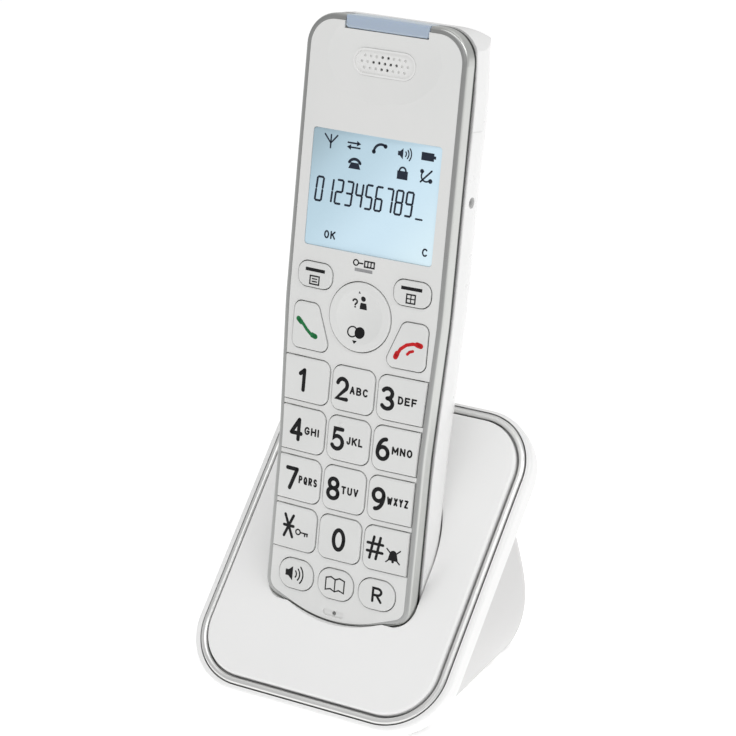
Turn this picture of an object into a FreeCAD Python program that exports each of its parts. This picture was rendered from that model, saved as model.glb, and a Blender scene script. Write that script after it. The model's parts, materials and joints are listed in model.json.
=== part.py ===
import FreeCAD, Part
import Sketcher
import math
import os

# ---------------------------------------------------------------------------
# Cordless phone standing in its charging base, in millimetres.
#
# Model frame: X to the right, Y to the rear, Z up, origin on the table under the
# middle of the whole. WORLD is the same frame moved along Y; the base is drawn in it.
# Handset frame: X across, Y from the front face towards the back, Z up the
# handset. It is leaned back and moved into the cradle.
# Bezel frame: X across, Y up the sloping face of the base, Z out of it.
# ---------------------------------------------------------------------------

DIMENSIONS = {
    # place of the whole model, of the handset and of the bezel
    "shift_y": 1.5,
    "lean_deg": 11.14, "hand_y": -21.45, "hand_z": 20.54,
    "slope_deg": 45.3, "bezel_y": -37.46, "bezel_z": 7.95,
    # outline of the handset's front face, bottom to top
    "chin_radius": 39.0, "chin_low": 2.6, "toe_radius": 4.0, "toe_up": 11.0,
    "waist_half": 22.3, "waist_up": 50.0, "flare_radius": 150.0,
    "chest_half": 24.0, "chest_up": 95.0, "brow_radius": 8.0, "brow_up": 162.8,
    "top_up": 171.0, "top_radius": 200.0,
    # depths from the front face, and walls
    "hand_deep": 26.0, "back_round": 15.0, "top_round": 17.0, "heel_round": 6.0,
    "band_front": 0.9, "band_rear": 6.8, "band_proud": 1.3, "band_edge": 1.1,
    "back_front": 7.4, "wall": 1.8, "face_wall": 1.8, "face_inset": 0.35, "bow_radius": 300.0,
    "seam": 0.05,
    # light bar across the top
    "bar_half": 13.0, "bar_low": 168.6, "bar_front": 0.35, "bar_gap": 0.15, "led_up": 166.9, "led_thick": 0.7,
    # earpiece
    "ear_up": 160.2, "ear_half": 9.8, "ear_radius": 3.75, "ear_sink": 1.1, "ear_thick": 0.7,
    "ear_hole": 0.42, "ear_pitch": 1.8, "ear_row": 1.65, "dimple_deep": 0.35,
    "dish_deep": 1.0, "dish_x": 58.0, "dish_y": 10.0, "dish_z": 29.0, "dish_rise": 1.6,
    # display
    "screen_half": 20.3, "screen_low": 107.7, "screen_high": 140.5, "screen_corner": 1.0,
    "screen_gap": 0.1, "screen_sink": 0.9, "screen_thick": 0.8,
    # keys
    "key_gap": 0.3, "key_proud": 0.55, "key_back": 1.0, "key_edge": 0.4,
    "tab_front": 2.1, "tab_thick": 0.7, "tab_half": 3.0, "tab_past": 0.65,
    "stem_radius": 1.5, "stem_end": 4.3,
    "digit_half": 6.7, "digit_tall": 12.45, "digit_pitch": 14.3, "digit_top": 76.0,
    "digit_corner": 2.6, "side_inner": 7.9, "side_outer": 24.6, "side_root": 14.0, "side_edge": 0.6,
    "soft_x": 15.5, "soft_up": 99.6, "soft_half": 5.6, "soft_radius": 2.9, "soft_tall": 3.5,
    "nav_up": 90.4, "nav_radius": 9.7, "nav_flange": 2.5, "nav_flange_thick": 0.6, "nav_lip": 0.9,
    "nav_stem": 5.5, "nav_dish": 28.0, "nav_dish_radius": 7.6,
    "call_top": 91.6, "call_low": 78.5, "call_out": 21.4, "call_in_top": 13.0, "call_in_low": 9.6,
    "call_corner": 2.2, "call_root": 16.6,
    "menu_x": 13.2, "menu_up": 13.6, "menu_half": 5.7, "menu_radius": 4.0, "menu_tall": 4.3,
    # parts behind the face
    "mat_front": 5.2, "mat_thick": 0.9, "mat_low": 9.6, "mat_high": 103.4,
    "dome_radius": 2.4, "dome_front": 5.0,
    "board_front": 7.0, "board_thick": 1.2, "board_low": 9.0, "board_high": 151.5,
    "lcd_half": 21.2, "lcd_low": 105.0, "lcd_high": 143.0, "lcd_front": 2.1, "lcd_thick": 2.0,
    "light_thick": 2.2,
    "mic_up": 5.0, "mic_hole": 0.65, "mic_slot_half": 3.4, "mic_slot_radius": 0.95, "mic_slot_deep": 0.45,
    "mic_rise": 1.5, "mic_radius": 1.4, "mic_thick": 1.6,
    # back of the handset
    "cell_radius": 5.25, "cell_long": 44.5, "cell_nub": 1.8, "cell_apart": 11.0, "cell_deep": 17.9,
    "bay_low": 66.0, "bay_high": 119.0, "bay_half": 12.6, "bay_wall": 1.2, "bay_front": 11.0,
    "door_low": 63.5, "door_high": 121.5, "door_half": 16.5, "door_gap": 0.3, "door_seat": 22.3,
    "horn_up": 141.0, "horn_radius": 9.5, "horn_thick": 4.2, "horn_hole": 0.8, "horn_ring": 3.2,
    "jack_up": 125.2, "jack_deep": 11.1, "jack_bore": 1.3, "jack_bore_long": 12.0, "jack_body": 2.5,
    "jack_face": 23.2,
    "rocker_up": 112.0, "rocker_deep": 12.5, "rocker_half": 8.0, "rocker_radius": 2.2,
    "rocker_proud": 0.7, "rocker_thick": 2.2, "rocker_gap": 0.35,
    "screw_x": 16.6, "screw_up": 153.0, "screw_head": 2.4, "screw_radius": 1.1,
    # base: bezel, trim ring and skirt
    "face_half": 37.1, "face_low": 0.3, "face_high": 90.5, "face_corner": 14.5,
    "ring_gap": 0.6, "ring_wide": 1.9, "ring_sink": 0.8, "ring_deep": 2.6, "channel_deep": 3.5,
    "lip_gap": 0.35, "skirt_half": 41.7, "skirt_low": -3.8, "skirt_high": 94.3, "skirt_corner": 18.6,
    "skirt_top": 1.4, "skirt_deep": 9.0, "skirt_round": 3.2, "skirt_lip": 0.9,
    "bezel_thick": 2.2, "skirt_wall": 3.4, "bezel_edge": 0.8,
    # base: pocket for the handset
    "pocket_gap": 0.4, "pocket_wall": 1.8, "pocket_high": 62.0,
    # base: lower shell, a loft through four levels
    "floor_up": 1.2, "belly_up": 24.0, "nip_up": 40.0, "neck_up": 68.0, "base_wall": 2.0,
    "floor_front": 33.0, "floor_rear": 30.0, "belly_front": 36.4, "belly_rear": 34.2,
    "nip_front": 35.6, "nip_rear": 32.5, "neck_front": 38.4, "neck_rear": 38.0,
    "base_nose": 36.0, "heel_y": 33.6, "belly_y": 34.0, "nip_y": 32.3, "neck_y": 32.4,
    # base: what it holds
    "pad_x": 9.0, "pad_deep": 13.0, "pad_half": 3.0, "pad_long": 9.0, "pad_up": 3.1, "pad_thick": 1.0,
    "pad_gap": 0.05,
    "pin_half": 1.3, "pin_long": 5.0, "pin_gap": 0.3, "pin_tall": 12.0,
    "foot_radius": 4.0, "foot_tall": 2.0, "foot_front_x": 28.0, "foot_front_y": -24.5,
    "foot_rear_x": 25.0, "foot_rear_y": 28.0,
    "base_screw_x": 27.2, "base_screw_front": -6.0, "base_screw_rear": 17.0,
    "inlet_up": 12.0, "inlet_bore": 2.75, "inlet_pin": 0.65, "inlet_long": 12.0,
    "inlet_half": 4.5, "inlet_mouth": 3.4,
}

doc = FreeCAD.newDocument("CordlessPhone")
sheet = doc.addObject("Spreadsheet::Sheet", "Dims")


class Dim:
    """A size that knows its number and its expression in the sheet."""

    def __init__(self, value, text):
        self.value = value
        self.text = text

    def join(self, other, sign, answer):
        return Dim(answer, "(" + self.text + sign + text_of(other) + ")")

    def __add__(self, other):
        return self.join(other, " + ", self.value + number(other))

    def __sub__(self, other):
        return self.join(other, " - ", self.value - number(other))

    def __mul__(self, other):
        return self.join(other, " * ", self.value * number(other))

    def __truediv__(self, other):
        return self.join(other, " / ", self.value / number(other))

    def __neg__(self):
        return Dim(-self.value, "(0 - " + self.text + ")")

    def __rsub__(self, other):
        return Dim(number(other) - self.value, "(" + text_of(other) + " - " + self.text + ")")

    __radd__ = __add__
    __rmul__ = __mul__


def number(size):
    return size.value if isinstance(size, Dim) else float(size)


def text_of(size):
    return size.text if isinstance(size, Dim) else repr(float(size))


class Dims:
    """The sheet's cells, one attribute each."""


for row, (alias, value) in enumerate(DIMENSIONS.items(), start=1):
    sheet.set("A%d" % row, alias)
    sheet.set("B%d" % row, str(value))
    sheet.setAlias("B%d" % row, alias)
    setattr(Dims, alias, Dim(value, "Dims." + alias))
doc.recompute()
d = Dims
ZERO = Dim(0.0, "0")

V = FreeCAD.Vector
WORLD = FreeCAD.Placement(V(0, d.shift_y.value, 0), FreeCAD.Rotation())
HAND = WORLD * FreeCAD.Placement(V(0, d.hand_y.value, d.hand_z.value),
                                 FreeCAD.Rotation(V(1, 0, 0), -d.lean_deg.value))
BEZEL = WORLD * FreeCAD.Placement(V(0, d.bezel_y.value, d.bezel_z.value),
                                  FreeCAD.Rotation(V(1, 0, 0), d.slope_deg.value))

nodes = {}


# ------------------------------------------------------------------ helpers

def bind(thing, field, size):
    """Set a property from the sheet."""
    thing.setExpression(field, text_of(size))


def new_body(name, place):
    body = doc.addObject("PartDesign::Body", name)
    body.Placement = place
    return body


def new_sketch(body, plane, level=0.0, turn=0.0):
    """A sketch on one of the body's own planes, moved along the plane's normal."""
    sketch = body.newObject("Sketcher::SketchObject", body.Name + "_sketch")
    support = [f for f in body.Origin.OriginFeatures if f.Role == plane][0]
    sketch.AttachmentSupport = [(support, "")]
    sketch.MapMode = "FlatFace"
    sketch.AttachmentOffset = FreeCAD.Placement(V(0, 0, number(level)), FreeCAD.Rotation())
    sketch.setExpression("AttachmentOffset.Base.z", text_of(level))
    return sketch


def front_sketch(body, depth):
    """A sketch facing the front, at a depth along Y."""
    return new_sketch(body, "XZ_Plane", -depth if isinstance(depth, Dim) else -float(depth))


def fix(sketch, kind, *where_and_size):
    """A driven distance or radius, bound to the sheet."""
    size = where_and_size[-1]
    index = sketch.addConstraint(Sketcher.Constraint(kind, *where_and_size[:-1], number(size)))
    if isinstance(size, Dim):
        sketch.setExpression("Constraints[%d]" % index, size.text)


def circle(sketch, across, up, radius):
    round_one = Part.Circle(V(number(across), number(up), 0), V(0, 0, 1), number(radius))
    index = sketch.addGeometry(round_one, False)
    fix(sketch, "Radius", index, radius)
    fix(sketch, "DistanceX", -1, 1, index, 3, across)
    fix(sketch, "DistanceY", -1, 1, index, 3, up)


def belt(sketch, circles):
    """A closed outline of arcs and tangent lines, anticlockwise.

    Each arc is (across, up, radius); a hollow bend has a negative radius.
    """
    count = len(circles)
    leave = [None] * count
    arrive = [None] * count
    for i in range(count):
        j = (i + 1) % count
        x0, y0, r0 = (number(s) for s in circles[i])
        x1, y1, r1 = (number(s) for s in circles[j])
        heading = math.atan2(y1 - y0, x1 - x0)
        heading -= math.acos((r0 - r1) / math.hypot(x1 - x0, y1 - y0))
        outward = V(math.cos(heading), math.sin(heading), 0)
        leave[i] = V(x0, y0, 0) + outward * r0
        arrive[j] = V(x1, y1, 0) + outward * r1
    arcs = []
    ends = []
    for i in range(count):
        x, y, r = circles[i]
        centre = V(number(x), number(y), 0)
        hollow = number(r) < 0
        first, last = (leave[i], arrive[i]) if hollow else (arrive[i], leave[i])
        angles = [math.atan2(p.y - centre.y, p.x - centre.x) for p in (first, last)]
        if angles[1] < angles[0]:
            angles[1] += 2 * math.pi
        ring = Part.Circle(centre, V(0, 0, 1), abs(number(r)))
        arcs.append(sketch.addGeometry(Part.ArcOfCircle(ring, angles[0], angles[1]), False))
        ends.append((2, 1) if hollow else (1, 2))
    for i in range(count):
        j = (i + 1) % count
        line = sketch.addGeometry(Part.LineSegment(leave[i], arrive[j]), False)
        sketch.addConstraint(Sketcher.Constraint("Tangent", arcs[i], ends[i][1], line, 1))
        sketch.addConstraint(Sketcher.Constraint("Tangent", arcs[j], ends[j][0], line, 2))
    for i in range(count):
        x, y, r = circles[i]
        fix(sketch, "Radius", arcs[i], -r if number(r) < 0 else r)
        fix(sketch, "DistanceX", -1, 1, arcs[i], 3, x)
        fix(sketch, "DistanceY", -1, 1, arcs[i], 3, y)


def rounded(sketch, left, right, low, high, radius):
    """A rectangle with one corner radius."""
    belt(sketch, [(right - radius, low + radius, radius), (right - radius, high - radius, radius),
                  (left + radius, high - radius, radius), (left + radius, low + radius, radius)])


def pad(body, sketch, length, rearward=True):
    """Add material, from a front sketch towards the rear, or along the normal."""
    feature = body.newObject("PartDesign::Pad", body.Name + "_pad")
    feature.Profile = sketch
    feature.Length = number(length)
    bind(feature, "Length", length)
    feature.Reversed = rearward
    body.Tip = feature
    doc.recompute()
    return feature


def pocket(body, sketch, length=None, rearward=True):
    """Remove material; with no length, through everything on both sides."""
    before = body.Shape.Volume
    feature = body.newObject("PartDesign::Pocket", body.Name + "_pocket")
    feature.Profile = sketch
    if length is None:
        feature.Type = 1
        feature.Midplane = True
    else:
        feature.Length = number(length)
        bind(feature, "Length", length)
        feature.Reversed = not rearward
    body.Tip = feature
    doc.recompute()
    if not body.Shape.Volume < before:
        raise ValueError(body.Name + ": a pocket removed nothing")
    return feature


def rim(body, axis, level, outer=True):
    """Names of the edges round the flat faces that lie at one level of the body's own frame."""
    shape = body.Tip.Shape
    wanted = []
    for face in shape.Faces:
        box = face.BoundBox
        low, high = {"X": (box.XMin, box.XMax), "Y": (box.YMin, box.YMax), "Z": (box.ZMin, box.ZMax)}[axis]
        if abs(low - number(level)) > 0.01 or abs(high - number(level)) > 0.01:
            continue
        for wire in face.Wires:
            if not outer or wire.isSame(face.OuterWire):
                wanted += wire.Edges
    names = ["Edge%d" % (i + 1) for i, edge in enumerate(shape.Edges)
             if any(edge.isSame(other) for other in wanted)]
    if not names:
        raise ValueError(body.Name + ": no edge at that level")
    return names


def soften(body, radius, names):
    """Fillet the named edges of the body."""
    base = body.Tip
    feature = body.newObject("PartDesign::Fillet", body.Name + "_fillet")
    feature.Base = (base, names)
    feature.Radius = number(radius)
    bind(feature, "Radius", radius)
    body.Tip = feature
    doc.recompute()
    return feature


def placed(place, x, y, z, axis="Z"):
    """A placement inside a frame, with the local Z axis turned to X, Y or Z."""
    turns = {"Z": FreeCAD.Rotation(), "X": FreeCAD.Rotation(V(0, 1, 0), 90),
             "Y": FreeCAD.Rotation(V(1, 0, 0), -90)}
    return place * FreeCAD.Placement(V(number(x), number(y), number(z)), turns[axis])


def block(name, place, x0, x1, y0, y1, z0, z1):
    """A plain box between six planes of a frame."""
    thing = doc.addObject("Part::Box", name)
    bind(thing, "Length", x1 - x0)
    bind(thing, "Width", y1 - y0)
    bind(thing, "Height", z1 - z0)
    thing.Placement = placed(place, x0, y0, z0)
    return thing


def rod(name, place, x, y, z, radius, length, axis="Z"):
    """A cylinder from a point, along an axis of a frame."""
    thing = doc.addObject("Part::Cylinder", name)
    bind(thing, "Radius", radius)
    bind(thing, "Height", length)
    thing.Placement = placed(place, x, y, z, axis)
    return thing


def cut(name, base, *tools):
    result = doc.addObject("Part::Cut", name)
    result.Base = base
    result.Tool = tools[0] if len(tools) == 1 else fuse(name + "_tools", *tools)
    return result


def fuse(name, *things):
    result = doc.addObject("Part::MultiFuse", name)
    result.Shapes = list(things)
    return result


def common(name, *things):
    result = doc.addObject("Part::MultiCommon", name)
    result.Shapes = list(things)
    return result


def group(name, *things):
    """Several separate solids of one kind, kept in one node."""
    result = doc.addObject("Part::Compound", name)
    result.Links = list(things)
    return result


def node(name, thing):
    """Name a finished sub-part."""
    thing.Label = name
    nodes[name] = thing
    return thing


# ------------------------------------------------------------------ handset outlines

def face_outline(inset):
    """The handset seen from the front, drawn in by an inset."""
    waist_bend = d.waist_half + d.flare_radius
    chest_bend = d.chest_half - d.flare_radius
    toe_x = d.waist_half - d.toe_radius
    brow_x = d.chest_half - d.brow_radius
    right = [(toe_x, d.toe_up, d.toe_radius - inset),
             (waist_bend, d.waist_up, -(d.flare_radius + inset)),
             (chest_bend, d.chest_up, d.flare_radius - inset),
             (brow_x, d.brow_up, d.brow_radius - inset)]
    left = [(-x, z, r) for x, z, r in reversed(right)]
    chin = (0.0, d.chin_low + d.chin_radius, d.chin_radius - inset)
    top = (0.0, d.top_up - d.top_radius, d.top_radius - inset)
    return [chin] + right + [top] + left


def bow(body, proud=0.0):
    """Round the front gently from side to side, on a cylinder that stands proud of the face."""
    far = 60.0
    sketch = new_sketch(body, "XY_Plane")
    edge = 0.5
    side = 5.0
    belt(sketch, [(-far, -far, edge), (far, -far, edge), (far, side, edge),
                  (0.0, d.bow_radius - proud, -d.bow_radius), (-far, side, edge)])
    pocket(body, sketch)


def ring_body(name, outer, inner, front, rear):
    """A wall that follows the handset's outline, between two depths."""
    body = new_body(name, HAND)
    sketch = front_sketch(body, front)
    belt(sketch, face_outline(outer))
    belt(sketch, face_outline(inner))
    pad(body, sketch, rear - front)
    return body


def shell_half(name, inset, front, deep):
    """The solid shape of the handset behind the band, drawn in by an inset.

    A loft up the handset gives the rounded back; the ends are trimmed to the chin and the top.
    """
    body = new_body(name, HAND)
    grow = d.band_proud - inset
    low_half = d.waist_half + grow
    high_half = d.chest_half + grow
    round_off = d.back_round - inset
    lip = 0.5
    middle = (d.waist_up + d.chest_up) / 2
    levels = [(up, low_half) for up in (-8.0, 14.0, 32.0, 46.0)]
    levels += [(middle, (low_half + high_half) / 2)]
    levels += [(up, high_half) for up in (99.0, 112.0, 132.0, 156.0, 182.0)]
    sections = []
    for up, half in levels:
        sketch = new_sketch(body, "XY_Plane", up)
        belt(sketch, [(half - lip, front + lip, lip), (half - round_off, deep - round_off, round_off),
                      (-(half - round_off), deep - round_off, round_off), (-(half - lip), front + lip, lip)])
        sections.append(sketch)
    loft = body.newObject("PartDesign::AdditiveLoft", name + "_loft")
    loft.Profile = sections[0]
    loft.Sections = sections[1:]
    body.Tip = loft
    doc.recompute()
    far = 45.0
    edge = 0.5
    level = 28.0
    side = low_half + 0.02
    toe_x = d.waist_half - d.toe_radius
    sketch = front_sketch(body, 0.0)
    belt(sketch, [(-far, -far, edge), (far, -far, edge), (far, level, edge), (side + edge, level, edge),
                  (toe_x, d.toe_up, -(d.toe_radius + grow + 0.02)),
                  (0.0, d.chin_low + d.chin_radius, -(d.chin_radius + grow)),
                  (-toe_x, d.toe_up, -(d.toe_radius + grow + 0.02)),
                  (-(side + edge), level, edge), (-far, level, edge)])
    pocket(body, sketch)
    level = 145.0
    top = 230.0
    side = high_half + 0.02
    brow_x = d.chest_half - d.brow_radius
    sketch = front_sketch(body, 0.0)
    belt(sketch, [(far, level, edge), (far, top, edge), (-far, top, edge), (-far, level, edge),
                  (-(side + edge), level, edge),
                  (-brow_x, d.brow_up, -(d.brow_radius + grow + 0.02)),
                  (0.0, d.top_up - d.top_radius, -(d.top_radius + grow)),
                  (brow_x, d.brow_up, -(d.brow_radius + grow + 0.02)),
                  (side + edge, level, edge)])
    pocket(body, sketch)
    for up, reach, bend in ((d.top_up + grow, 30.0, d.top_round - inset),
                            (d.chin_low - grow, -30.0, d.heel_round - inset)):
        inner = up - bend if reach > 0 else up + bend
        sketch = new_sketch(body, "YZ_Plane")
        start = deep - bend
        out = deep + 20.0
        back = 3.0
        if reach > 0:
            loop = [(start - back, up + reach, edge), (start - back, up + edge, edge), (start, inner, -bend),
                    (deep + edge, inner - back, edge), (out, inner - back, edge), (out, up + reach, edge)]
        else:
            loop = [(start - back, up + reach, edge), (out, up + reach, edge), (out, inner + back, edge),
                    (deep + edge, inner + back, edge), (start, inner, -bend), (start - back, up - edge, edge)]
        belt(sketch, loop)
        pocket(body, sketch)
    return body


# ------------------------------------------------------------------ handset shells

def screen_opening(sketch, grow):
    rounded(sketch, -(d.screen_half + grow), d.screen_half + grow,
            d.screen_low - grow, d.screen_high + grow, d.screen_corner)


def stadium(sketch, across, up, half, radius):
    """A slot with round ends; half is its half length."""
    reach = half - radius
    belt(sketch, [(across + reach, up, radius), (across - reach, up, radius)])


def oval(sketch, across, up, half, tall, radius):
    """A soft oval key: half width, half height and corner radius."""
    rounded(sketch, across - half, across + half, up - tall, up + tall, radius)


def digit_outline(column, row):
    """Outline function of one digit key; the outer columns run out to the edge of the face."""
    top = d.digit_top - d.digit_pitch * row
    low = top - d.digit_tall

    def draw(sketch, grow):
        c = d.digit_corner + grow
        e = d.side_edge
        if column == 0:
            rounded(sketch, -(d.digit_half + grow), d.digit_half + grow, low - grow, top + grow, c)
            return
        inner = d.side_inner - grow + c
        outer = d.side_outer - e
        right = [(outer, low - grow + e, e), (outer, top + grow - e, e),
                 (inner, top + grow - c, c), (inner, low - grow + c, c)]
        if column > 0:
            belt(sketch, right)
        else:
            belt(sketch, [(-x, z, r) for x, z, r in reversed(right)])

    return draw


def call_outline(side):
    """Talk or end key: narrower at the top, where it passes the round key."""
    def draw(sketch, grow):
        c = d.call_corner + grow
        out = d.call_out + grow - c
        top = d.call_top + grow - c
        low = d.call_low - grow + c
        right = [(out, low, c), (out, top, c), (d.call_in_top - grow + c, top, c),
                 (d.call_in_low - grow + c, low, c)]
        if side > 0:
            belt(sketch, right)
        else:
            belt(sketch, [(-x, z, r) for x, z, r in reversed(right)])

    return draw


def round_key(sketch, grow):
    circle(sketch, 0.0, d.nav_up, d.nav_radius + grow)


def soft_outline(side):
    def draw(sketch, grow):
        oval(sketch, side * d.soft_x, d.soft_up, d.soft_half + grow, d.soft_tall + grow, d.soft_radius + grow)
    return draw


def menu_outline(place):
    def draw(sketch, grow):
        oval(sketch, place * d.menu_x, d.menu_up, d.menu_half + grow, d.menu_tall + grow, d.menu_radius + grow)
    return draw


DIGITS = ("1", "2", "3", "4", "5", "6", "7", "8", "9", "star", "0", "hash")


class Key:
    """One key on the face: its outline, and the centre and half size of the part behind the cap."""

    def __init__(self, name, draw, across, up, half, tall):
        self.name = name
        self.draw = draw
        self.across = across
        self.up = up
        self.half = half
        self.tall = tall


def all_keys():
    keys = []
    for index, mark in enumerate(DIGITS):
        row, column = divmod(index, 3)
        column -= 1
        up = d.digit_top - d.digit_pitch * row - d.digit_tall / 2
        across = ZERO if column == 0 else column * d.side_root
        keys.append(Key("key_" + mark, digit_outline(column, row), across, up, 4.8, d.digit_tall / 2))
    call_up = (d.call_top + d.call_low) / 2
    call_tall = (d.call_top - d.call_low) / 2
    for side, mark in ((-1, "talk_key"), (1, "end_key")):
        keys.append(Key(mark, call_outline(side), side * d.call_root, call_up, 3.0, call_tall))
    for side, mark in ((-1, "soft_key_left"), (1, "soft_key_right")):
        keys.append(Key(mark, soft_outline(side), side * d.soft_x, d.soft_up, 3.8, d.soft_tall))
    for place, mark in ((-1, "speaker_key"), (0, "phonebook_key"), (1, "recall_key")):
        keys.append(Key(mark, menu_outline(place), place * d.menu_x, d.menu_up, 3.8, d.menu_tall))
    return keys


def ear_dish():
    """The shallow hollow for the ear, as a tool."""
    dish = doc.addObject("Part::Ellipsoid", "ear_dish")
    bind(dish, "Radius1", d.dish_z)
    bind(dish, "Radius2", d.dish_x)
    bind(dish, "Radius3", d.dish_y)
    dish.Angle1 = -90
    dish.Angle2 = 90
    dish.Placement = placed(HAND, 0, d.dish_deep - d.dish_y, d.ear_up + d.dish_rise)
    return dish


def make_front_shell():
    body = new_body("front_shell_body", HAND)
    sketch = front_sketch(body, 0.0)
    belt(sketch, face_outline(d.face_inset))
    pad(body, sketch, d.back_front - d.seam)
    sketch = front_sketch(body, d.face_wall)
    belt(sketch, face_outline(d.face_inset + d.wall))
    pocket(body, sketch, 20.0)
    bow(body)
    sketch = front_sketch(body, 0.0)
    screen_opening(sketch, 0.0)
    pocket(body, sketch, d.face_wall * 2)
    sketch = front_sketch(body, 0.0)
    stadium(sketch, 0.0, d.ear_up, d.ear_half + d.seam, d.ear_radius + d.seam)
    pocket(body, sketch, d.face_wall * 2)
    sketch = front_sketch(body, -5.0)
    circle(sketch, 0.0, d.mic_up, d.mic_hole)
    pocket(body, sketch, d.face_wall + 5.0)
    sketch = front_sketch(body, 0.0)
    stadium(sketch, 0.0, d.mic_up, d.mic_slot_half, d.mic_slot_radius)
    pocket(body, sketch, d.mic_slot_deep)
    for draw in [round_key] + [key.draw for key in all_keys()]:
        sketch = front_sketch(body, -5.0)
        draw(sketch, d.key_gap)
        pocket(body, sketch, d.face_wall + 5.0)
    notch = block("bar_notch", HAND, -(d.bar_half + d.bar_gap), d.bar_half + d.bar_gap,
                  -5.0, d.back_front, d.bar_low - d.bar_gap, d.top_up + 5.0)
    shell = cut("front_shell_cut", body, ear_dish(), notch)
    screws = [rod("screw_way", HAND, side * d.screw_x, d.face_wall - 0.2, d.screw_up,
                  d.screw_radius + 1.3, d.board_front - d.face_wall - 0.4, "Y") for side in (-1, 1)]
    bores = [rod("screw_bore", HAND, side * d.screw_x, d.face_wall, d.screw_up,
                 d.screw_radius, 20.0, "Y") for side in (-1, 1)]
    posts = cut("shell_posts", fuse("post_pair", *screws), *bores)
    node("front_shell", fuse("front_shell_all", shell, posts))


def make_trim_band():
    body = ring_body("trim_band_body", -d.band_proud, d.face_inset - d.seam, d.band_front, d.band_rear)
    soften(body, d.band_edge, rim(body, "Y", d.band_front) + rim(body, "Y", d.band_rear))
    gap = block("band_gap", HAND, -(d.bar_half + d.bar_gap), d.bar_half + d.bar_gap,
                0.0, d.back_front, d.bar_low - 2.0, d.top_up + 5.0)
    node("trim_band", cut("trim_band_cut", body, gap))


def make_light_bar():
    body = new_body("light_bar_body", HAND)
    sketch = front_sketch(body, d.bar_front)
    belt(sketch, face_outline(-d.band_proud))
    pad(body, sketch, d.band_rear - d.bar_front)
    sketch = front_sketch(body, -5.0)
    far = 60.0
    edge = 0.5
    bend = 1.0
    belt(sketch, [(-far, -20.0, edge), (far, -20.0, edge), (far, 200.0, edge), (d.bar_half + edge, 200.0, edge),
                  (d.bar_half - bend, d.bar_low + bend, -bend), (bend - d.bar_half, d.bar_low + bend, -bend),
                  (-(d.bar_half + edge), 200.0, edge), (-far, 200.0, edge)])
    pocket(body, sketch)
    soften(body, 0.7, rim(body, "Y", d.bar_front) + rim(body, "Y", d.band_rear))
    node("light_bar", body)


def make_back_shell():
    outer = shell_half("back_outer", ZERO, d.back_front, d.hand_deep)
    inner = shell_half("back_inner", d.wall, d.back_front - 1.0, d.hand_deep - d.wall)
    hollow = cut("back_hollow", outer, inner)
    bay = cut("bay_box",
              block("bay_outer", HAND, -(d.bay_half + d.bay_wall), d.bay_half + d.bay_wall,
                    d.bay_front - d.bay_wall, d.hand_deep - d.wall, d.bay_low - d.bay_wall,
                    d.bay_high + d.bay_wall),
              block("bay_inner", HAND, -d.bay_half, d.bay_half, d.bay_front, d.hand_deep,
                    d.bay_low, d.bay_high))
    ledge = common("door_ledge", outer,
                   cut("ledge_frame",
                       block("ledge_plate", HAND, -30.0, 30.0, d.door_seat - 1.6, d.door_seat,
                             d.door_low - 2.5, d.door_high + 2.5),
                       block("ledge_bay", HAND, -d.bay_half, d.bay_half, 0.0, d.hand_deep,
                             d.bay_low, d.bay_high)))
    door_way = block("door_way", HAND, -d.door_half, d.door_half, d.door_seat + 0.1,
                     d.hand_deep + 5.0, d.door_low, d.door_high)
    holes = []
    for ring in (0, 1, 2):
        for step in range(6 * ring or 1):
            angle = 2 * math.pi * step / (6 * ring or 1)
            holes.append(rod("horn_hole", HAND, d.horn_ring * ring * math.cos(angle),
                             d.hand_deep - 5.0, d.horn_up + d.horn_ring * ring * math.sin(angle),
                             d.horn_hole, 10.0, "Y"))
    jack_hole = rod("jack_hole", HAND, 18.0, d.jack_deep, d.jack_up, d.jack_bore + 0.3, 20.0, "X")
    rocker_hole = block("rocker_hole", HAND, -40.0, -15.0,
                        d.rocker_deep - d.rocker_radius - d.rocker_gap,
                        d.rocker_deep + d.rocker_radius + d.rocker_gap,
                        d.rocker_up - d.rocker_half - d.rocker_gap,
                        d.rocker_up + d.rocker_half + d.rocker_gap)
    heads = [rod("head_way", HAND, side * d.screw_x, 18.0, d.screw_up, d.screw_head + 0.3, 20.0, "Y")
             for side in (-1, 1)]
    seats = [rod("screw_seat", HAND, side * d.screw_x, d.board_front + d.board_thick + 0.4, d.screw_up,
                 d.screw_head + 1.3, 13.5, "Y") for side in (-1, 1)]
    shanks = [rod("shank_way", HAND, side * d.screw_x, 5.0, d.screw_up, d.screw_radius + 0.2, 30.0, "Y")
              for side in (-1, 1)]
    pads = [block("pad_way", HAND, side * d.pad_x - d.pad_half, side * d.pad_x + d.pad_half,
                  d.pad_deep - d.pad_long / 2, d.pad_deep + d.pad_long / 2, -5.0, 8.0) for side in (-1, 1)]
    posts = common("seat_posts", fuse("seats", *seats), outer)
    walls = fuse("back_walls", hollow, bay, ledge, posts)
    node("back_shell", cut("back_shell_cut", walls, door_way, jack_hole, rocker_hole, *holes, *heads,
                           *shanks, *pads))
    skin = cut("door_skin", outer, inner)
    gap = d.door_gap
    door_block = block("door_block", HAND, gap - d.door_half, d.door_half - gap, d.door_seat + 0.2,
                       d.hand_deep + 5.0, d.door_low + gap, d.door_high - gap)
    node("battery_cover", common("battery_cover_skin", skin, door_block))


# ------------------------------------------------------------------ face parts

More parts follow.
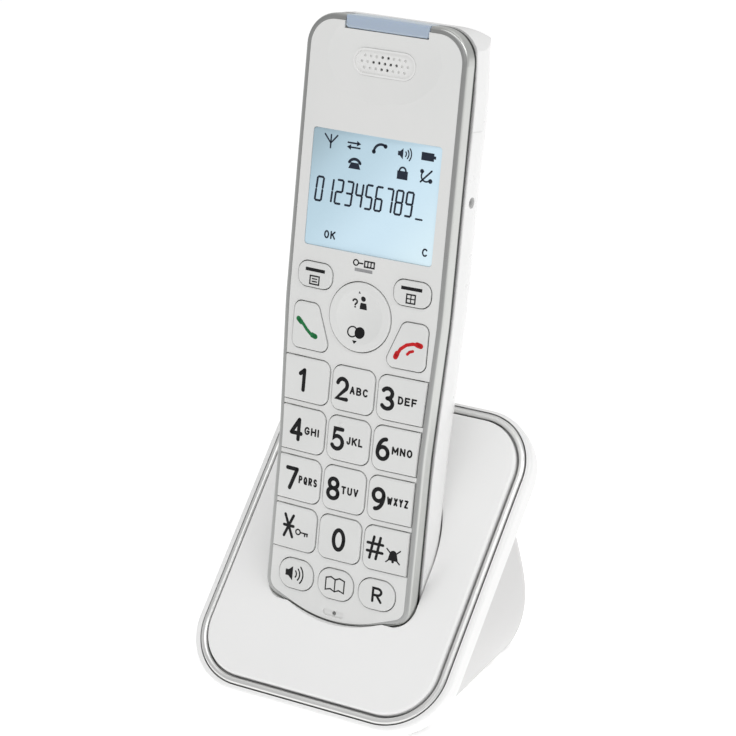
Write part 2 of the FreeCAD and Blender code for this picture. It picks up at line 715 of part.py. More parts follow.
def make_earpiece_grille():
    body = new_body("earpiece_grille", HAND)
    sketch = front_sketch(body, d.ear_sink)
    stadium(sketch, 0.0, d.ear_up, d.ear_half, d.ear_radius)
    pad(body, sketch, d.ear_thick)
    sketch = front_sketch(body, d.ear_sink - 0.4)
    rim_wide = 0.55
    stadium(sketch, 0.0, d.ear_up, d.ear_half, d.ear_radius)
    stadium(sketch, 0.0, d.ear_up, d.ear_half - rim_wide, d.ear_radius - rim_wide)
    pad(body, sketch, 0.4)
    through = front_sketch(body, -1.0)
    blind = front_sketch(body, -1.0)
    for row in (-1, 0, 1):
        up = d.ear_up + d.ear_row * row
        columns = range(-4, 5) if row == 0 else [c + 0.5 for c in range(-4, 4)]
        for column in columns:
            open_hole = abs(column) <= (2 if row == 0 else 0.5)
            circle(through if open_hole else blind, d.ear_pitch * column, up, d.ear_hole)
    pocket(body, through, 10.0)
    pocket(body, blind, 1.0 + d.ear_sink + d.dimple_deep)
    node("earpiece_grille", body)


def make_window():
    body = new_body("display_window", HAND)
    sketch = front_sketch(body, d.screen_sink)
    screen_opening(sketch, -d.screen_gap)
    pad(body, sketch, d.screen_thick)
    node("display_window", body)


def bowed_rim(body):
    """Edges round the bowed front of a body."""
    shape = body.Tip.Shape
    wanted = []
    for face in shape.Faces:
        surface = face.Surface
        if isinstance(surface, Part.Cylinder) and abs(surface.Radius - d.bow_radius.value) < 0.01:
            wanted += face.Edges
    return ["Edge%d" % (i + 1) for i, edge in enumerate(shape.Edges)
            if any(edge.isSame(other) for other in wanted)]


def trim_to_face(body, inset):
    """Cut away what stands outside the face's outline."""
    sketch = front_sketch(body, 0.0)
    rounded(sketch, -70.0, 70.0, -30.0, 210.0, 2.0)
    belt(sketch, face_outline(inset))
    pocket(body, sketch)


def make_key(key):
    """A key: cap with a bowed front, root through the face, two tabs that hold it in, and a stem."""
    body = new_body(key.name, HAND)
    sketch = front_sketch(body, -d.key_proud)
    key.draw(sketch, 0.0)
    pad(body, sketch, d.key_proud + d.key_back)
    bow(body, d.key_proud)
    soften(body, d.key_edge, bowed_rim(body))
    if abs(number(key.across)) == d.side_root.value:
        trim_to_face(body, d.face_inset + d.key_gap)
    back = d.tab_front + d.tab_thick
    low = key.up - key.tall + 0.5
    high = key.up + key.tall - 0.5
    sketch = front_sketch(body, d.key_back)
    rounded(sketch, key.across - key.half, key.across + key.half, low, high, 1.0)
    pad(body, sketch, back - d.key_back)
    sketch = front_sketch(body, d.tab_front)
    rounded(sketch, key.across - d.tab_half, key.across + d.tab_half,
            key.up - key.tall - d.tab_past, key.up + key.tall + d.tab_past, 0.4)
    pad(body, sketch, d.tab_thick)
    sketch = front_sketch(body, back)
    circle(sketch, key.across, key.up, d.stem_radius)
    pad(body, sketch, d.stem_end - back)
    node(key.name, body)


def make_nav_key():
    """The round rocker: a dished disc with a flange and two stems."""
    body = new_body("nav_key_disc", HAND)
    sketch = front_sketch(body, -d.key_proud)
    round_key(sketch, 0.0)
    pad(body, sketch, d.key_proud + d.nav_flange)
    bow(body, d.key_proud)
    soften(body, d.key_edge, bowed_rim(body))
    sketch = front_sketch(body, d.nav_flange)
    circle(sketch, 0.0, d.nav_up, d.nav_radius + d.nav_lip)
    pad(body, sketch, d.nav_flange_thick)
    back = d.nav_flange + d.nav_flange_thick
    sketch = front_sketch(body, back)
    for side in (-1, 1):
        circle(sketch, 0.0, d.nav_up + side * d.nav_stem, d.stem_radius)
    pad(body, sketch, d.stem_end - back)
    ball = doc.addObject("Part::Sphere", "nav_dish")
    bind(ball, "Radius", d.nav_dish)
    sink = d.nav_dish.value - math.sqrt(d.nav_dish.value ** 2 - d.nav_dish_radius.value ** 2)
    ball.Placement = placed(HAND, 0, sink - d.key_proud.value - d.nav_dish.value, d.nav_up)
    node("nav_key", cut("nav_key_cut", body, ball))


# ------------------------------------------------------------------ inside the handset

def face_plate(name, inset, front, thick):
    body = new_body(name, HAND)
    sketch = front_sketch(body, front)
    belt(sketch, face_outline(inset))
    pad(body, sketch, thick)
    return body


def make_handset_inside():
    keys = all_keys()
    mat = common("mat_sheet", face_plate("mat_plate", 3.5, d.mat_front, d.mat_thick),
                 block("mat_part", HAND, -30.0, 30.0, 0.0, 20.0, d.mat_low, d.mat_high))
    places = [(key.across, key.up) for key in keys]
    places += [(0.0, d.nav_up + side * d.nav_stem) for side in (-1, 1)]
    domes = [rod("dome", HAND, x, d.dome_front, z, d.dome_radius, d.mat_front - d.dome_front + 0.1, "Y")
             for x, z in places]
    node("keypad_mat", fuse("keypad_mat_all", mat, *domes))

    node("main_board", common("main_board_cut", face_plate("board_plate", 3.3, d.board_front, d.board_thick),
                              block("board_part", HAND, -30.0, 30.0, 0.0, 20.0, d.board_low, d.board_high)))
    rear = d.board_front + d.board_thick
    node("radio_shield", block("radio_shield", HAND, -15.0, 5.0, rear, rear + 2.2, 126.0, 140.0))
    node("antenna", block("antenna", HAND, -13.0, 13.0, rear + 1.2, rear + 1.8, 143.0, 149.0))
    lcd_rear = d.lcd_front + d.lcd_thick
    node("lcd_module", block("lcd_module", HAND, -d.lcd_half, d.lcd_half, d.lcd_front, lcd_rear,
                             d.lcd_low, d.lcd_high))
    node("backlight", block("backlight", HAND, 0.6 - d.lcd_half, d.lcd_half - 0.6, lcd_rear,
                            lcd_rear + d.light_thick, d.lcd_low + 0.6, d.lcd_high - 0.6))
    ear_front = d.face_wall + 0.1
    basket = rod("ear_basket", HAND, 0.0, ear_front, d.ear_up, 6.4, 3.0, "Y")
    magnet = rod("ear_magnet", HAND, 0.0, ear_front + 3.0, d.ear_up, 4.5, 1.6, "Y")
    node("earpiece_speaker", fuse("earpiece_speaker_all", basket, magnet))
    node("microphone", rod("microphone", HAND, 0.0, d.face_wall + 0.1, d.mic_up + d.mic_rise, d.mic_radius,
                           d.mic_thick, "Y"))
    strip_top = d.led_up + d.led_thick
    strip = block("led_strip", HAND, 2.0 - d.bar_half, d.bar_half - 2.0, 2.2, 6.0, d.led_up, strip_top)
    lamps = [block("led_lamp", HAND, ZERO + x - 1.2, ZERO + x + 1.2, 3.2, 5.0, strip_top, strip_top + 0.6)
             for x in (-7.0, 7.0)]
    node("ringer_led_board", fuse("ringer_led_board_all", strip, *lamps))

    horn_front = d.hand_deep - d.wall - d.horn_thick - 0.4
    horn = rod("horn_basket", HAND, 0.0, horn_front + 1.6, d.horn_up, d.horn_radius, d.horn_thick - 1.6, "Y")
    horn_magnet = rod("horn_magnet", HAND, 0.0, horn_front, d.horn_up, d.horn_radius - 3.0, 1.6, "Y")
    node("ringer_speaker", fuse("ringer_speaker_all", horn, horn_magnet))
    node("vibration_motor", rod("vibration_motor", HAND, -6.0, rear + 2.6, 44.0, 2.3, 12.0, "X"))

    jack = rod("jack_barrel", HAND, d.jack_face - 13.0, d.jack_deep, d.jack_up, d.jack_body, 13.0, "X")
    jack_box = block("jack_box", HAND, 9.0, 20.0, rear + 0.1, rear + 5.4, d.jack_up - 2.7, d.jack_up + 2.7)
    bore = rod("jack_bore", HAND, d.jack_face - d.jack_bore_long, d.jack_deep, d.jack_up, d.jack_bore,
               d.jack_bore_long + 1.0, "X")
    node("headset_jack", cut("headset_jack_cut", fuse("jack_solid", jack_box, jack), bore))

    half = d.cell_apart / 2
    cell_low = d.bay_low + 4.6
    cells = []
    for side in (-1, 1):
        can = rod("cell_can", HAND, side * half, d.cell_deep, cell_low, d.cell_radius, d.cell_long - 1.0)
        nub = rod("cell_nub", HAND, side * half, d.cell_deep, cell_low + d.cell_long - 1.0, d.cell_nub, 1.0)
        cells.append(fuse("cell", can, nub))
    node("battery_cells", group("battery_cells_group", *cells))
    contacts = []
    for side in (-1, 1):
        plate = block("contact_plate", HAND, side * half - 3.5, side * half + 3.5, d.cell_deep - 3.5,
                      d.cell_deep + 3.5, d.bay_low, d.bay_low + 0.4)
        spring = doc.addObject("Part::Cone", "contact_spring")
        spring.Radius1 = 3.2
        spring.Radius2 = 2.0
        spring.Height = 4.1
        spring.Placement = placed(HAND, side * half, d.cell_deep, d.bay_low + 0.4)
        contacts.append(fuse("sprung_contact", plate, spring))
    cell_end = cell_low + d.cell_long + 0.1
    contacts.append(block("bridge_contact", HAND, -half - 3.5, half + 3.5, d.cell_deep - 3.5,
                          d.cell_deep + 3.5, cell_end, cell_end + 0.4))
    node("battery_contacts", group("battery_contacts_group", *contacts))

    half = d.pad_half - d.pad_gap
    long_half = d.pad_long / 2 - d.pad_gap
    pads = [block("charge_pad", HAND, side * d.pad_x - half, side * d.pad_x + half,
                  d.pad_deep - long_half, d.pad_deep + long_half, d.pad_up, d.pad_up + d.pad_thick)
            for side in (-1, 1)]
    node("charge_pads", group("charge_pads_group", *pads))

    screws = []
    for side in (-1, 1):
        shank = rod("shank", HAND, side * d.screw_x, 4.0, d.screw_up, d.screw_radius - 0.05, 14.0, "Y")
        head = rod("head", HAND, side * d.screw_x, 18.0, d.screw_up, d.screw_head, 1.7, "Y")
        slot = block("slot", HAND, side * d.screw_x - 1.6, side * d.screw_x + 1.6, 19.0, 21.0,
                     d.screw_up - 0.3, d.screw_up + 0.3)
        screws.append(cut("shell_screw", fuse("screw_solid", shank, head), slot))
    node("shell_screws", group("shell_screws_group", *screws))


def make_volume_rocker():
    body = new_body("volume_rocker", HAND)
    outer = -(d.chest_half + d.band_proud + d.rocker_proud)
    sketch = new_sketch(body, "YZ_Plane", outer)
    reach = d.rocker_half - d.rocker_radius
    belt(sketch, [(d.rocker_deep, d.rocker_up + reach, d.rocker_radius),
                  (d.rocker_deep, d.rocker_up - reach, d.rocker_radius)][::-1])
    pad(body, sketch, d.rocker_thick + d.rocker_proud, rearward=False)
    soften(body, 0.6, rim(body, "X", outer))
    node("volume_rocker", body)


# ------------------------------------------------------------------ base

def bezel_outline(sketch, grow, half, low, high, corner):
    rounded(sketch, -(half + grow), half + grow, low - grow, high + grow, corner + grow)


def around_face(sketch, grow):
    bezel_outline(sketch, grow, d.face_half, d.face_low, d.face_high, d.face_corner)


def around_skirt(sketch, grow):
    bezel_outline(sketch, grow, d.skirt_half, d.skirt_low, d.skirt_high, d.skirt_corner)


def below_bezel(name, level):
    """Everything under the bezel plane, down from a level, as a tool."""
    return block(name, BEZEL, -80.0, 80.0, -90.0, 190.0, -200.0, level)


def pocket_shape(name, grow):
    """The handset's foot, grown and carried straight up the handset's own direction."""
    body = new_body(name, HAND)
    half = d.waist_half + d.band_proud + grow
    bend = d.back_round + grow
    lip = 0.5
    front = d.band_front - grow
    sketch = new_sketch(body, "XY_Plane", -10.0)
    deep = d.hand_deep + grow
    belt(sketch, [(half - lip, front + lip, lip), (half - bend, deep - bend, bend),
                  (-(half - bend), deep - bend, bend), (-(half - lip), front + lip, lip)])
    pad(body, sketch, d.pocket_high + 10.0, rearward=False)
    far = 45.0
    edge = 0.5
    level = 28.0
    side = half + 0.02
    toe_x = d.waist_half - d.toe_radius
    out = d.band_proud + grow
    sketch = front_sketch(body, 0.0)
    belt(sketch, [(-far, -far, edge), (far, -far, edge), (far, level, edge), (side + edge, level, edge),
                  (toe_x, d.toe_up, -(d.toe_radius + out + 0.02)),
                  (0.0, d.chin_low + d.chin_radius, -(d.chin_radius + out)),
                  (-toe_x, d.toe_up, -(d.toe_radius + out + 0.02)),
                  (-(side + edge), level, edge), (-far, level, edge)])
    pocket(body, sketch)
    return body


def chin_way(name, grow):
    """The way of the front face, cut forward through the bezel."""
    body = new_body(name, HAND)
    sketch = front_sketch(body, -30.0)
    belt(sketch, face_outline(-grow))
    pad(body, sketch, 32.0)
    return body


def screw_places():
    """The four screws that hold the base together, seen from above."""
    return [(side * x, y) for side in (-1, 1)
            for x, y in ((d.base_screw_x, d.base_screw_front), (d.base_screw_x, d.base_screw_rear))]


def make_base_top():
    body = new_body("base_top_body", BEZEL)
    sketch = new_sketch(body, "XY_Plane", -d.skirt_deep)
    around_skirt(sketch, 0.0)
    pad(body, sketch, d.skirt_deep - d.skirt_top, rearward=False)
    soften(body, d.skirt_round, rim(body, "Z", -d.skirt_deep))
    soften(body, d.skirt_lip, rim(body, "Z", -d.skirt_top))
    sketch = new_sketch(body, "XY_Plane", -d.skirt_top - 1.0)
    around_face(sketch, 0.0)
    pad(body, sketch, d.skirt_top + 1.0, rearward=False)
    soften(body, d.bezel_edge, rim(body, "Z", 0.0))
    sketch = new_sketch(body, "XY_Plane", 0.0)
    around_face(sketch, d.ring_gap + d.ring_wide + d.lip_gap)
    around_face(sketch, 0.0)
    pocket(body, sketch, d.channel_deep)
    sketch = new_sketch(body, "XY_Plane", -d.skirt_deep)
    around_skirt(sketch, -d.skirt_wall)
    pocket(body, sketch, d.skirt_deep - d.channel_deep - 1.6, rearward=False)
    sketch = new_sketch(body, "XY_Plane", -d.skirt_deep)
    around_face(sketch, -d.wall)
    pocket(body, sketch, d.skirt_deep - d.bezel_thick, rearward=False)
    cup = common("pocket_cup", pocket_shape("cup_outer", d.pocket_gap + d.pocket_wall),
                 below_bezel("cup_limit", -1.0))
    posts = [rod("post", WORLD, x, y, 4.0, 3.0, 90.0) for x, y in screw_places()]
    post_limit = common("posts_below", fuse("posts", *posts), below_bezel("post_limit", -1.0))
    bores = [rod("post_bore", WORLD, x, y, 0.0, 1.25, 15.0) for x, y in screw_places()]
    ways = [block("pin_way", HAND, side * d.pad_x - d.pin_half - 0.35, side * d.pad_x + d.pin_half + 0.35,
                  d.pad_deep - d.pin_long / 2 - 0.35, d.pad_deep + d.pin_long / 2 + 0.35, -5.0, 8.0)
            for side in (-1, 1)]
    solid = fuse("base_top_solid", body, cup, post_limit)
    node("base_top_shell", cut("base_top_cut", solid, pocket_shape("pocket_room", d.pocket_gap),
                               chin_way("chin_room", d.pocket_gap), *ways, *bores))


def make_base_ring():
    body = new_body("base_trim_ring", BEZEL)
    sketch = new_sketch(body, "XY_Plane", -d.ring_sink - d.ring_deep)
    around_face(sketch, d.ring_gap + d.ring_wide)
    around_face(sketch, d.ring_gap)
    pad(body, sketch, d.ring_deep, rearward=False)
    soften(body, 0.8, rim(body, "Z", -d.ring_sink, outer=False))
    node("base_trim_ring", body)


def lower_loft(name, inset, start):
    """The lower shell's outside, drawn in by an inset and starting at a level."""
    body = new_body(name, WORLD)
    levels = [(start, d.floor_front, d.floor_rear, d.heel_y, 9.0, 5.0),
              (d.belly_up, d.belly_front, d.belly_rear, d.belly_y, 9.0, 6.0),
              (d.nip_up, d.nip_front, d.nip_rear, d.nip_y, 9.0, 8.0),
              (d.neck_up, d.neck_front, d.neck_rear, d.neck_y, 12.0, 14.0)]
    sections = []
    for up, front, rear, rear_y, front_bend, rear_bend in levels:
        sketch = new_sketch(body, "XY_Plane", up)
        right = [(front - front_bend, -d.base_nose + front_bend, front_bend - inset),
                 (rear - rear_bend, rear_y - rear_bend, rear_bend - inset)]
        left = [(-x, y, r) for x, y, r in reversed(right)]
        belt(sketch, right + left)
        sections.append(sketch)
    loft = body.newObject("PartDesign::AdditiveLoft", name + "_loft")
    loft.Profile = sections[0]
    loft.Sections = sections[1:]
    body.Tip = loft
    doc.recompute()
    return body


def foot_places():
    return [(side * x, y) for side in (-1, 1)
            for x, y in ((d.foot_front_x, d.foot_front_y), (d.foot_rear_x, d.foot_rear_y))]


def make_base_lower():
    outer = lower_loft("lower_outer", ZERO, d.floor_up)
    inner = lower_loft("lower_inner", d.base_wall, d.floor_up + d.base_wall)
    above = block("above_seam", BEZEL, -80.0, 80.0, -90.0, 190.0, -d.skirt_deep, 100.0)
    recesses = [rod("foot_recess", WORLD, x, y, -1.0, d.foot_radius + 0.05, d.foot_tall + 1.0)
                for x, y in foot_places()]
    mouth = rod("inlet_mouth", WORLD, 0.0, 25.0, d.inlet_up, d.inlet_mouth, 20.0, "Y")
    ways = [rod("screw_hole", WORLD, x, y, 0.0, 1.7, 6.0) for x, y in screw_places()]
    heads = [rod("head_recess", WORLD, x, y, 0.0, 3.0, 2.4) for x, y in screw_places()]
    node("base_lower_shell", cut("base_lower_cut", outer, inner, above, mouth, *recesses, *ways, *heads))


def make_base_inside():
    node("rubber_feet", group("rubber_feet_group",
                              *[rod("foot", WORLD, x, y, 0.0, d.foot_radius, d.foot_tall)
                                for x, y in foot_places()]))
    screws = []
    for x, y in screw_places():
        shank = rod("base_shank", WORLD, x, y, 2.4, 1.2, 10.8)
        head = rod("base_head", WORLD, x, y, 1.4, 2.7, 1.0)
        slot = block("base_slot", WORLD, x - 2.0, x + 2.0, y - 0.35, y + 0.35, 1.0, 1.8)
        screws.append(cut("base_screw", fuse("base_screw_solid", shank, head), slot))
    node("base_screws", group("base_screws_group", *screws))
    board = block("charger_plate", WORLD, -22.0, 22.0, -16.0, 30.0, 4.6, 6.2)
    coil = rod("charger_choke", WORLD, -14.0, 20.0, 6.2, 4.0, 5.0)
    chip = block("charger_chip", WORLD, 9.0, 15.0, 12.0, 17.0, 6.2, 7.8)
    node("charger_board", fuse("charger_board_all", board, coil, chip))
    body = block("inlet_body", WORLD, -d.inlet_half, d.inlet_half, 19.0, 31.4, 6.3, d.inlet_up + 4.8)
    bore = rod("inlet_bore", WORLD, 0.0, 31.4 - d.inlet_long + 2.0, d.inlet_up, d.inlet_bore,
               d.inlet_long, "Y")
    pin = rod("inlet_pin", WORLD, 0.0, 20.0, d.inlet_up, d.inlet_pin, 10.6, "Y")
    node("dc_inlet", fuse("dc_inlet_all", cut("inlet_socket", body, bore), pin))
    top = -1.4
    carrier = block("carrier_block", HAND, -14.0, 14.0, d.pad_deep - 4.5, d.pad_deep + 4.5, -8.2, top)
    ways = [block("carrier_way", HAND, side * d.pad_x - d.pin_half - 0.35, side * d.pad_x + d.pin_half + 0.35,
                  d.pad_deep - d.pin_long / 2 - 0.35, d.pad_deep + d.pin_long / 2 + 0.35, -20.0, 8.0)
            for side in (-1, 1)]
    node("contact_holder", cut("contact_holder_cut", carrier, *ways))
    for side, name in ((-1, "charge_contact_left"), (1, "charge_contact_right")):
        body = new_body(name, HAND)
        pin_top = d.pad_up - d.pin_gap
        sketch = new_sketch(body, "XY_Plane", pin_top - d.pin_tall)
        rounded(sketch, side * d.pad_x - d.pin_half, side * d.pad_x + d.pin_half,
                d.pad_deep - d.pin_long / 2, d.pad_deep + d.pin_long / 2, 0.4)
        pad(body, sketch, d.pin_tall, rearward=False)
        soften(body, 0.35, rim(body, "Z", pin_top))
        node(name, body)


# ------------------------------------------------------------------ build, check, write

def build():
    make_front_shell()
    make_trim_band()
    make_light_bar()
    make_back_shell()
    make_earpiece_grille()
    make_window()
    for key in all_keys():
        make_key(key)
    make_nav_key()
    make_volume_rocker()
    make_handset_inside()
    make_base_top()
    make_base_ring()
    make_base_lower()
    make_base_inside()
    doc.recompute()


def check():
    """Stop before anything is written if an object failed or a sub-part is not sound."""
    for thing in doc.Objects:
        if "Invalid" in thing.State or "Error" in thing.State:
            raise ValueError(thing.Name + " failed: " + ", ".join(thing.State))
    for name, thing in nodes.items():
        if thing.Shape.isNull() or not thing.Shape.isValid():
            raise ValueError(name + " has no sound shape")


def write():
    os.makedirs("parts", exist_ok=True)
    for name, thing in nodes.items():
        thing.Shape.exportStep("parts/" + name + ".step")
    print(len(nodes), "sub-parts written")


build()
check()
write()
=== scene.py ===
import json
import math

import bmesh
import bpy
from mathutils import Matrix, Vector


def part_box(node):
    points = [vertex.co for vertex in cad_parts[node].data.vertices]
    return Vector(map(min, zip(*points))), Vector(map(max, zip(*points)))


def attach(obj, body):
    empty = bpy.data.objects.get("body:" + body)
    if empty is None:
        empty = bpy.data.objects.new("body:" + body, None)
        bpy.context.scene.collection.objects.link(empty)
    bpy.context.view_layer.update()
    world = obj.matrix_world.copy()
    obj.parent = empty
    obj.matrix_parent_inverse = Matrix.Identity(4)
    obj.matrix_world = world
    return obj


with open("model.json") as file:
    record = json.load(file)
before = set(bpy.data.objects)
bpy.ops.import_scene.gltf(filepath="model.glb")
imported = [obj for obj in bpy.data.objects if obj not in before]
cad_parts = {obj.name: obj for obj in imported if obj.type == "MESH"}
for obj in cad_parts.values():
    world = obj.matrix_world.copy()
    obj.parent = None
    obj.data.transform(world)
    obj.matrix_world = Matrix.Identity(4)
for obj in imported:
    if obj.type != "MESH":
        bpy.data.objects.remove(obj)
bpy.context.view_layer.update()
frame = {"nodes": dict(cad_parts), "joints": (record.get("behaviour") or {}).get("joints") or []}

# ---------------------------------------------------------------------------
# Looks of a white cordless phone standing in its charging base. Sizes are in
# metres unless a name says otherwise; MM turns millimetres into metres.
#
# Handset frame: X across, Y from the front face towards the back, Z up the
# handset, leaned back in the base. Keys press along its Y.
# ---------------------------------------------------------------------------

MM = 0.001
NODES = frame["nodes"]
PRESS = Vector(next(j["axis"] for j in frame["joints"] if j["name"] == "key_5_press"))
UP = Vector(next(j["axis"] for j in frame["joints"] if j["name"] == "handset_lift"))
NAV_HINGE = Vector(next(j["pos_m"] for j in frame["joints"] if j["name"] == "nav_rock"))
NAV_UP = 90.4
NAV_AXIS_DEEP = 3.0
ORIGIN = NAV_HINGE - PRESS * NAV_AXIS_DEEP * MM - UP * NAV_UP * MM
BEZEL_SLOPE = math.radians(45.3)
BEZEL_ORIGIN = Vector((0.0, -35.96, 7.95)) * MM

BOW_RADIUS = 300.0
KEY_PROUD = 0.55
# Heights of the fine moulded skin, in metres.
POLISHED_GRAIN = 0.0000015
SATIN_GRAIN = 0.000006
PRINT_PROUD = 0.03
MITRE_LIMIT = 0.7
NAV_DISH_RADIUS = 28.0
NAV_DISH_EDGE = 7.6
SCREEN_DEEP = 0.9
BAND_FRONT = 0.9
BAND_DEEP = 5.9


def on_handset(x, y, z):
    """A point of the handset frame, in millimetres, put into the row frame."""
    return ORIGIN + Vector((x, 0, 0)) * MM + PRESS * (y * MM) + UP * (z * MM)


# ------------------------------------------------------------------ surfaces

# Each surface takes a place across and up the handset, and gives its depth there.

def bowed(x, z):
    """Depth of the bowed front face."""
    return x * x / (2 * BOW_RADIUS)


def key_front(x, z):
    return bowed(x, z) - KEY_PROUD


def nav_front(x, z):
    """Depth of the round key's dished front."""
    sink = NAV_DISH_RADIUS - math.sqrt(NAV_DISH_RADIUS ** 2 - NAV_DISH_EDGE ** 2)
    centre = sink - KEY_PROUD - NAV_DISH_RADIUS
    across = x * x + (z - NAV_UP) ** 2
    ball = centre + math.sqrt(max(NAV_DISH_RADIUS ** 2 - across, 0.0))
    return max(key_front(x, z), ball)


def screen_front(x, z):
    return SCREEN_DEEP


# ------------------------------------------------------------------ materials

class Nodes:
    """A material being wired up, with short calls for the nodes that repeat."""

    def __init__(self, name, color, roughness):
        self.material = bpy.data.materials.new(name)
        self.material.use_nodes = True
        self.tree = self.material.node_tree
        self.shader = self.tree.nodes["Principled BSDF"]
        self.set("Base Color", (*color, 1.0))
        self.set("Roughness", roughness)

    def set(self, socket, value):
        self.shader.inputs[socket].default_value = value

    def add(self, kind, **fields):
        node = self.tree.nodes.new(kind)
        for field, value in fields.items():
            setattr(node, field, value)
        return node

    def link(self, out, into):
        self.tree.links.new(out, into)

    def place(self):
        return self.add("ShaderNodeTexCoord").outputs["Object"]

    def noise(self, scale, detail=3.0, roughness=0.55):
        noise = self.add("ShaderNodeTexNoise")
        noise.inputs["Scale"].default_value = scale
        noise.inputs["Detail"].default_value = detail
        noise.inputs["Roughness"].default_value = roughness
        self.link(self.place(), noise.inputs["Vector"])
        return noise.outputs["Fac"]

    def ramp(self, source, stops, smooth=True):
        ramp = self.add("ShaderNodeValToRGB")
        ramp.color_ramp.interpolation = "EASE" if smooth else "LINEAR"
        elements = ramp.color_ramp.elements
        while len(elements) < len(stops):
            elements.new(0.5)
        for element, (place, color) in zip(elements, stops):
            element.position = place
            element.color = (*color, 1.0)
        self.link(source, ramp.inputs["Fac"])
        return ramp.outputs["Color"]

    def spread(self, source, low, high):
        """The source's 0 to 1 spread from low to high."""
        span = self.add("ShaderNodeMapRange")
        span.inputs["To Min"].default_value = low
        span.inputs["To Max"].default_value = high
        self.link(source, span.inputs["Value"])
        return span.outputs["Result"]

    def along(self, axis, start, length):
        """0 to 1 along an axis of the row frame, from a start, over a length in metres."""
        dot = self.add("ShaderNodeVectorMath", operation="DOT_PRODUCT")
        dot.inputs[1].default_value = tuple(axis)
        self.link(self.place(), dot.inputs[0])
        span = self.add("ShaderNodeMapRange")
        span.inputs["From Min"].default_value = start
        span.inputs["From Max"].default_value = start + length
        self.link(dot.outputs["Value"], span.inputs["Value"])
        return span.outputs["Result"]

    def bump(self, height, distance, strength=1.0):
        bump = self.add("ShaderNodeBump")
        bump.inputs["Strength"].default_value = strength
        bump.inputs["Distance"].default_value = distance
        self.link(height, bump.inputs["Height"])
        self.link(bump.outputs["Normal"], self.shader.inputs["Normal"])

    def tint(self, low, high, scale):
        """A slow change of colour over the surface."""
        self.link(self.ramp(self.noise(scale), [(0.3, low), (0.7, high)]), self.shader.inputs["Base Color"])

    def gloss(self, low, high, scale):
        self.link(self.spread(self.noise(scale, 4.0), low, high), self.shader.inputs["Roughness"])


def moulded(name, low, high, rough, grain=0.000004, coat=0.0):
    """Moulded plastic: a faint change of tone, uneven gloss and a fine skin."""
    m = Nodes(name, high, rough)
    m.tint(low, high, 35.0)
    m.gloss(rough - 0.04, rough + 0.05, 120.0)
    m.bump(m.noise(2600.0, 2.0), grain, 0.6)
    m.set("Coat Weight", coat)
    m.set("Coat Roughness", 0.12)
    m.set("IOR", 1.5)
    return m


def shell_white():
    return moulded("shell_white", (0.89, 0.89, 0.885), (0.91, 0.91, 0.905), 0.28,
                   POLISHED_GRAIN, 0.35).material


def cradle_top_white():
    return moulded("cradle_top_white", (0.955, 0.955, 0.95), (0.965, 0.965, 0.96), 0.3,
                   POLISHED_GRAIN, 0.2).material


# A darker copy of the cradle's white: painted shade on the lower body under the top shell.
def cradle_low_shaded_white():
    return moulded("cradle_low_shaded_white", (0.70, 0.695, 0.69), (0.72, 0.715, 0.71), 0.32,
                   POLISHED_GRAIN, 0.2).material


def face_white():
    return moulded("face_white", (0.77, 0.775, 0.765), (0.79, 0.79, 0.78), 0.36, SATIN_GRAIN, 0.15).material


def key_white():
    return moulded("key_white", (0.74, 0.745, 0.735), (0.78, 0.785, 0.775), 0.38, SATIN_GRAIN, 0.1).material


def ear_pearl():
    return moulded("ear_pearl", (0.80, 0.80, 0.79), (0.86, 0.86, 0.85), 0.32, 0.000005, 0.3).material


def silver_with_groove_shade(name, axis, start, length, stops):
    """Satin silver paint, with painted shade darkening the edges where it turns into the grooves."""
    m = Nodes(name, (0.7, 0.7, 0.7), 0.3)
    m.link(m.ramp(m.along(axis, start, length), stops), m.shader.inputs["Base Color"])
    m.set("Metallic", 0.85)
    m.gloss(0.24, 0.36, 160.0)
    m.bump(m.noise(3200.0, 2.0), 0.000004, 0.5)
    return m.material


def band_silver():
    # The grey front edge and the dark back edge are painted shade where the band turns into its grooves; the
    # light middle is the silver paint.
    groove_shade, grey, light = (0.02, 0.021, 0.02), (0.4, 0.405, 0.4), (0.62, 0.63, 0.61)
    start = ORIGIN.dot(PRESS) + BAND_FRONT * MM
    return silver_with_groove_shade("band_silver", PRESS, start, BAND_DEEP * MM,
                  [(0.0, grey), (0.03, grey), (0.08, light), (0.64, light), (0.72, groove_shade), (1.0, groove_shade)])


def ring_silver():
    normal = Vector((0.0, -math.sin(BEZEL_SLOPE), math.cos(BEZEL_SLOPE)))
    start = BEZEL_ORIGIN.dot(normal) - 3.4 * MM
    # The dark stops, deeper below the bezel face, are painted shade; the light stops near the face are the
    # silver.
    return silver_with_groove_shade("ring_silver", normal, start, 2.6 * MM,
                  [(0.0, (0.05, 0.05, 0.05)), (0.55, (0.12, 0.12, 0.12)), (0.8, (0.8, 0.8, 0.79)),
                   (1.0, (0.86, 0.86, 0.85))])


def display():
    """The lit display: pale blue, with painted shade making it deeper towards the upper left and brighter
    low on the right.
    """
    m = Nodes("display", (0.5, 0.65, 0.75), 0.12)
    low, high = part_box("display_window")
    shade_slant = Vector((0.75, 0.0, -0.66))
    corner = Vector((low.x, 0.0, high.z)).dot(shade_slant)
    # This ramp is painted shade, and the glow carries it too.
    color = m.ramp(m.along(shade_slant, corner, (high - low).x * 0.75 + (high - low).z * 0.66),
                   [(0.0, (0.30, 0.41, 0.47)), (0.3, (0.44, 0.59, 0.68)), (0.65, (0.55, 0.71, 0.81)),
                    (1.0, (0.63, 0.78, 0.85))])
    m.link(color, m.shader.inputs["Base Color"])
    m.link(color, m.shader.inputs["Emission Color"])
    m.set("Emission Strength", 0.23)
    m.gloss(0.08, 0.14, 90.0)
    m.set("Coat Weight", 0.4)
    m.set("Coat Roughness", 0.04)
    m.bump(m.noise(900.0, 1.0), 0.000002, 0.4)
    return m.material


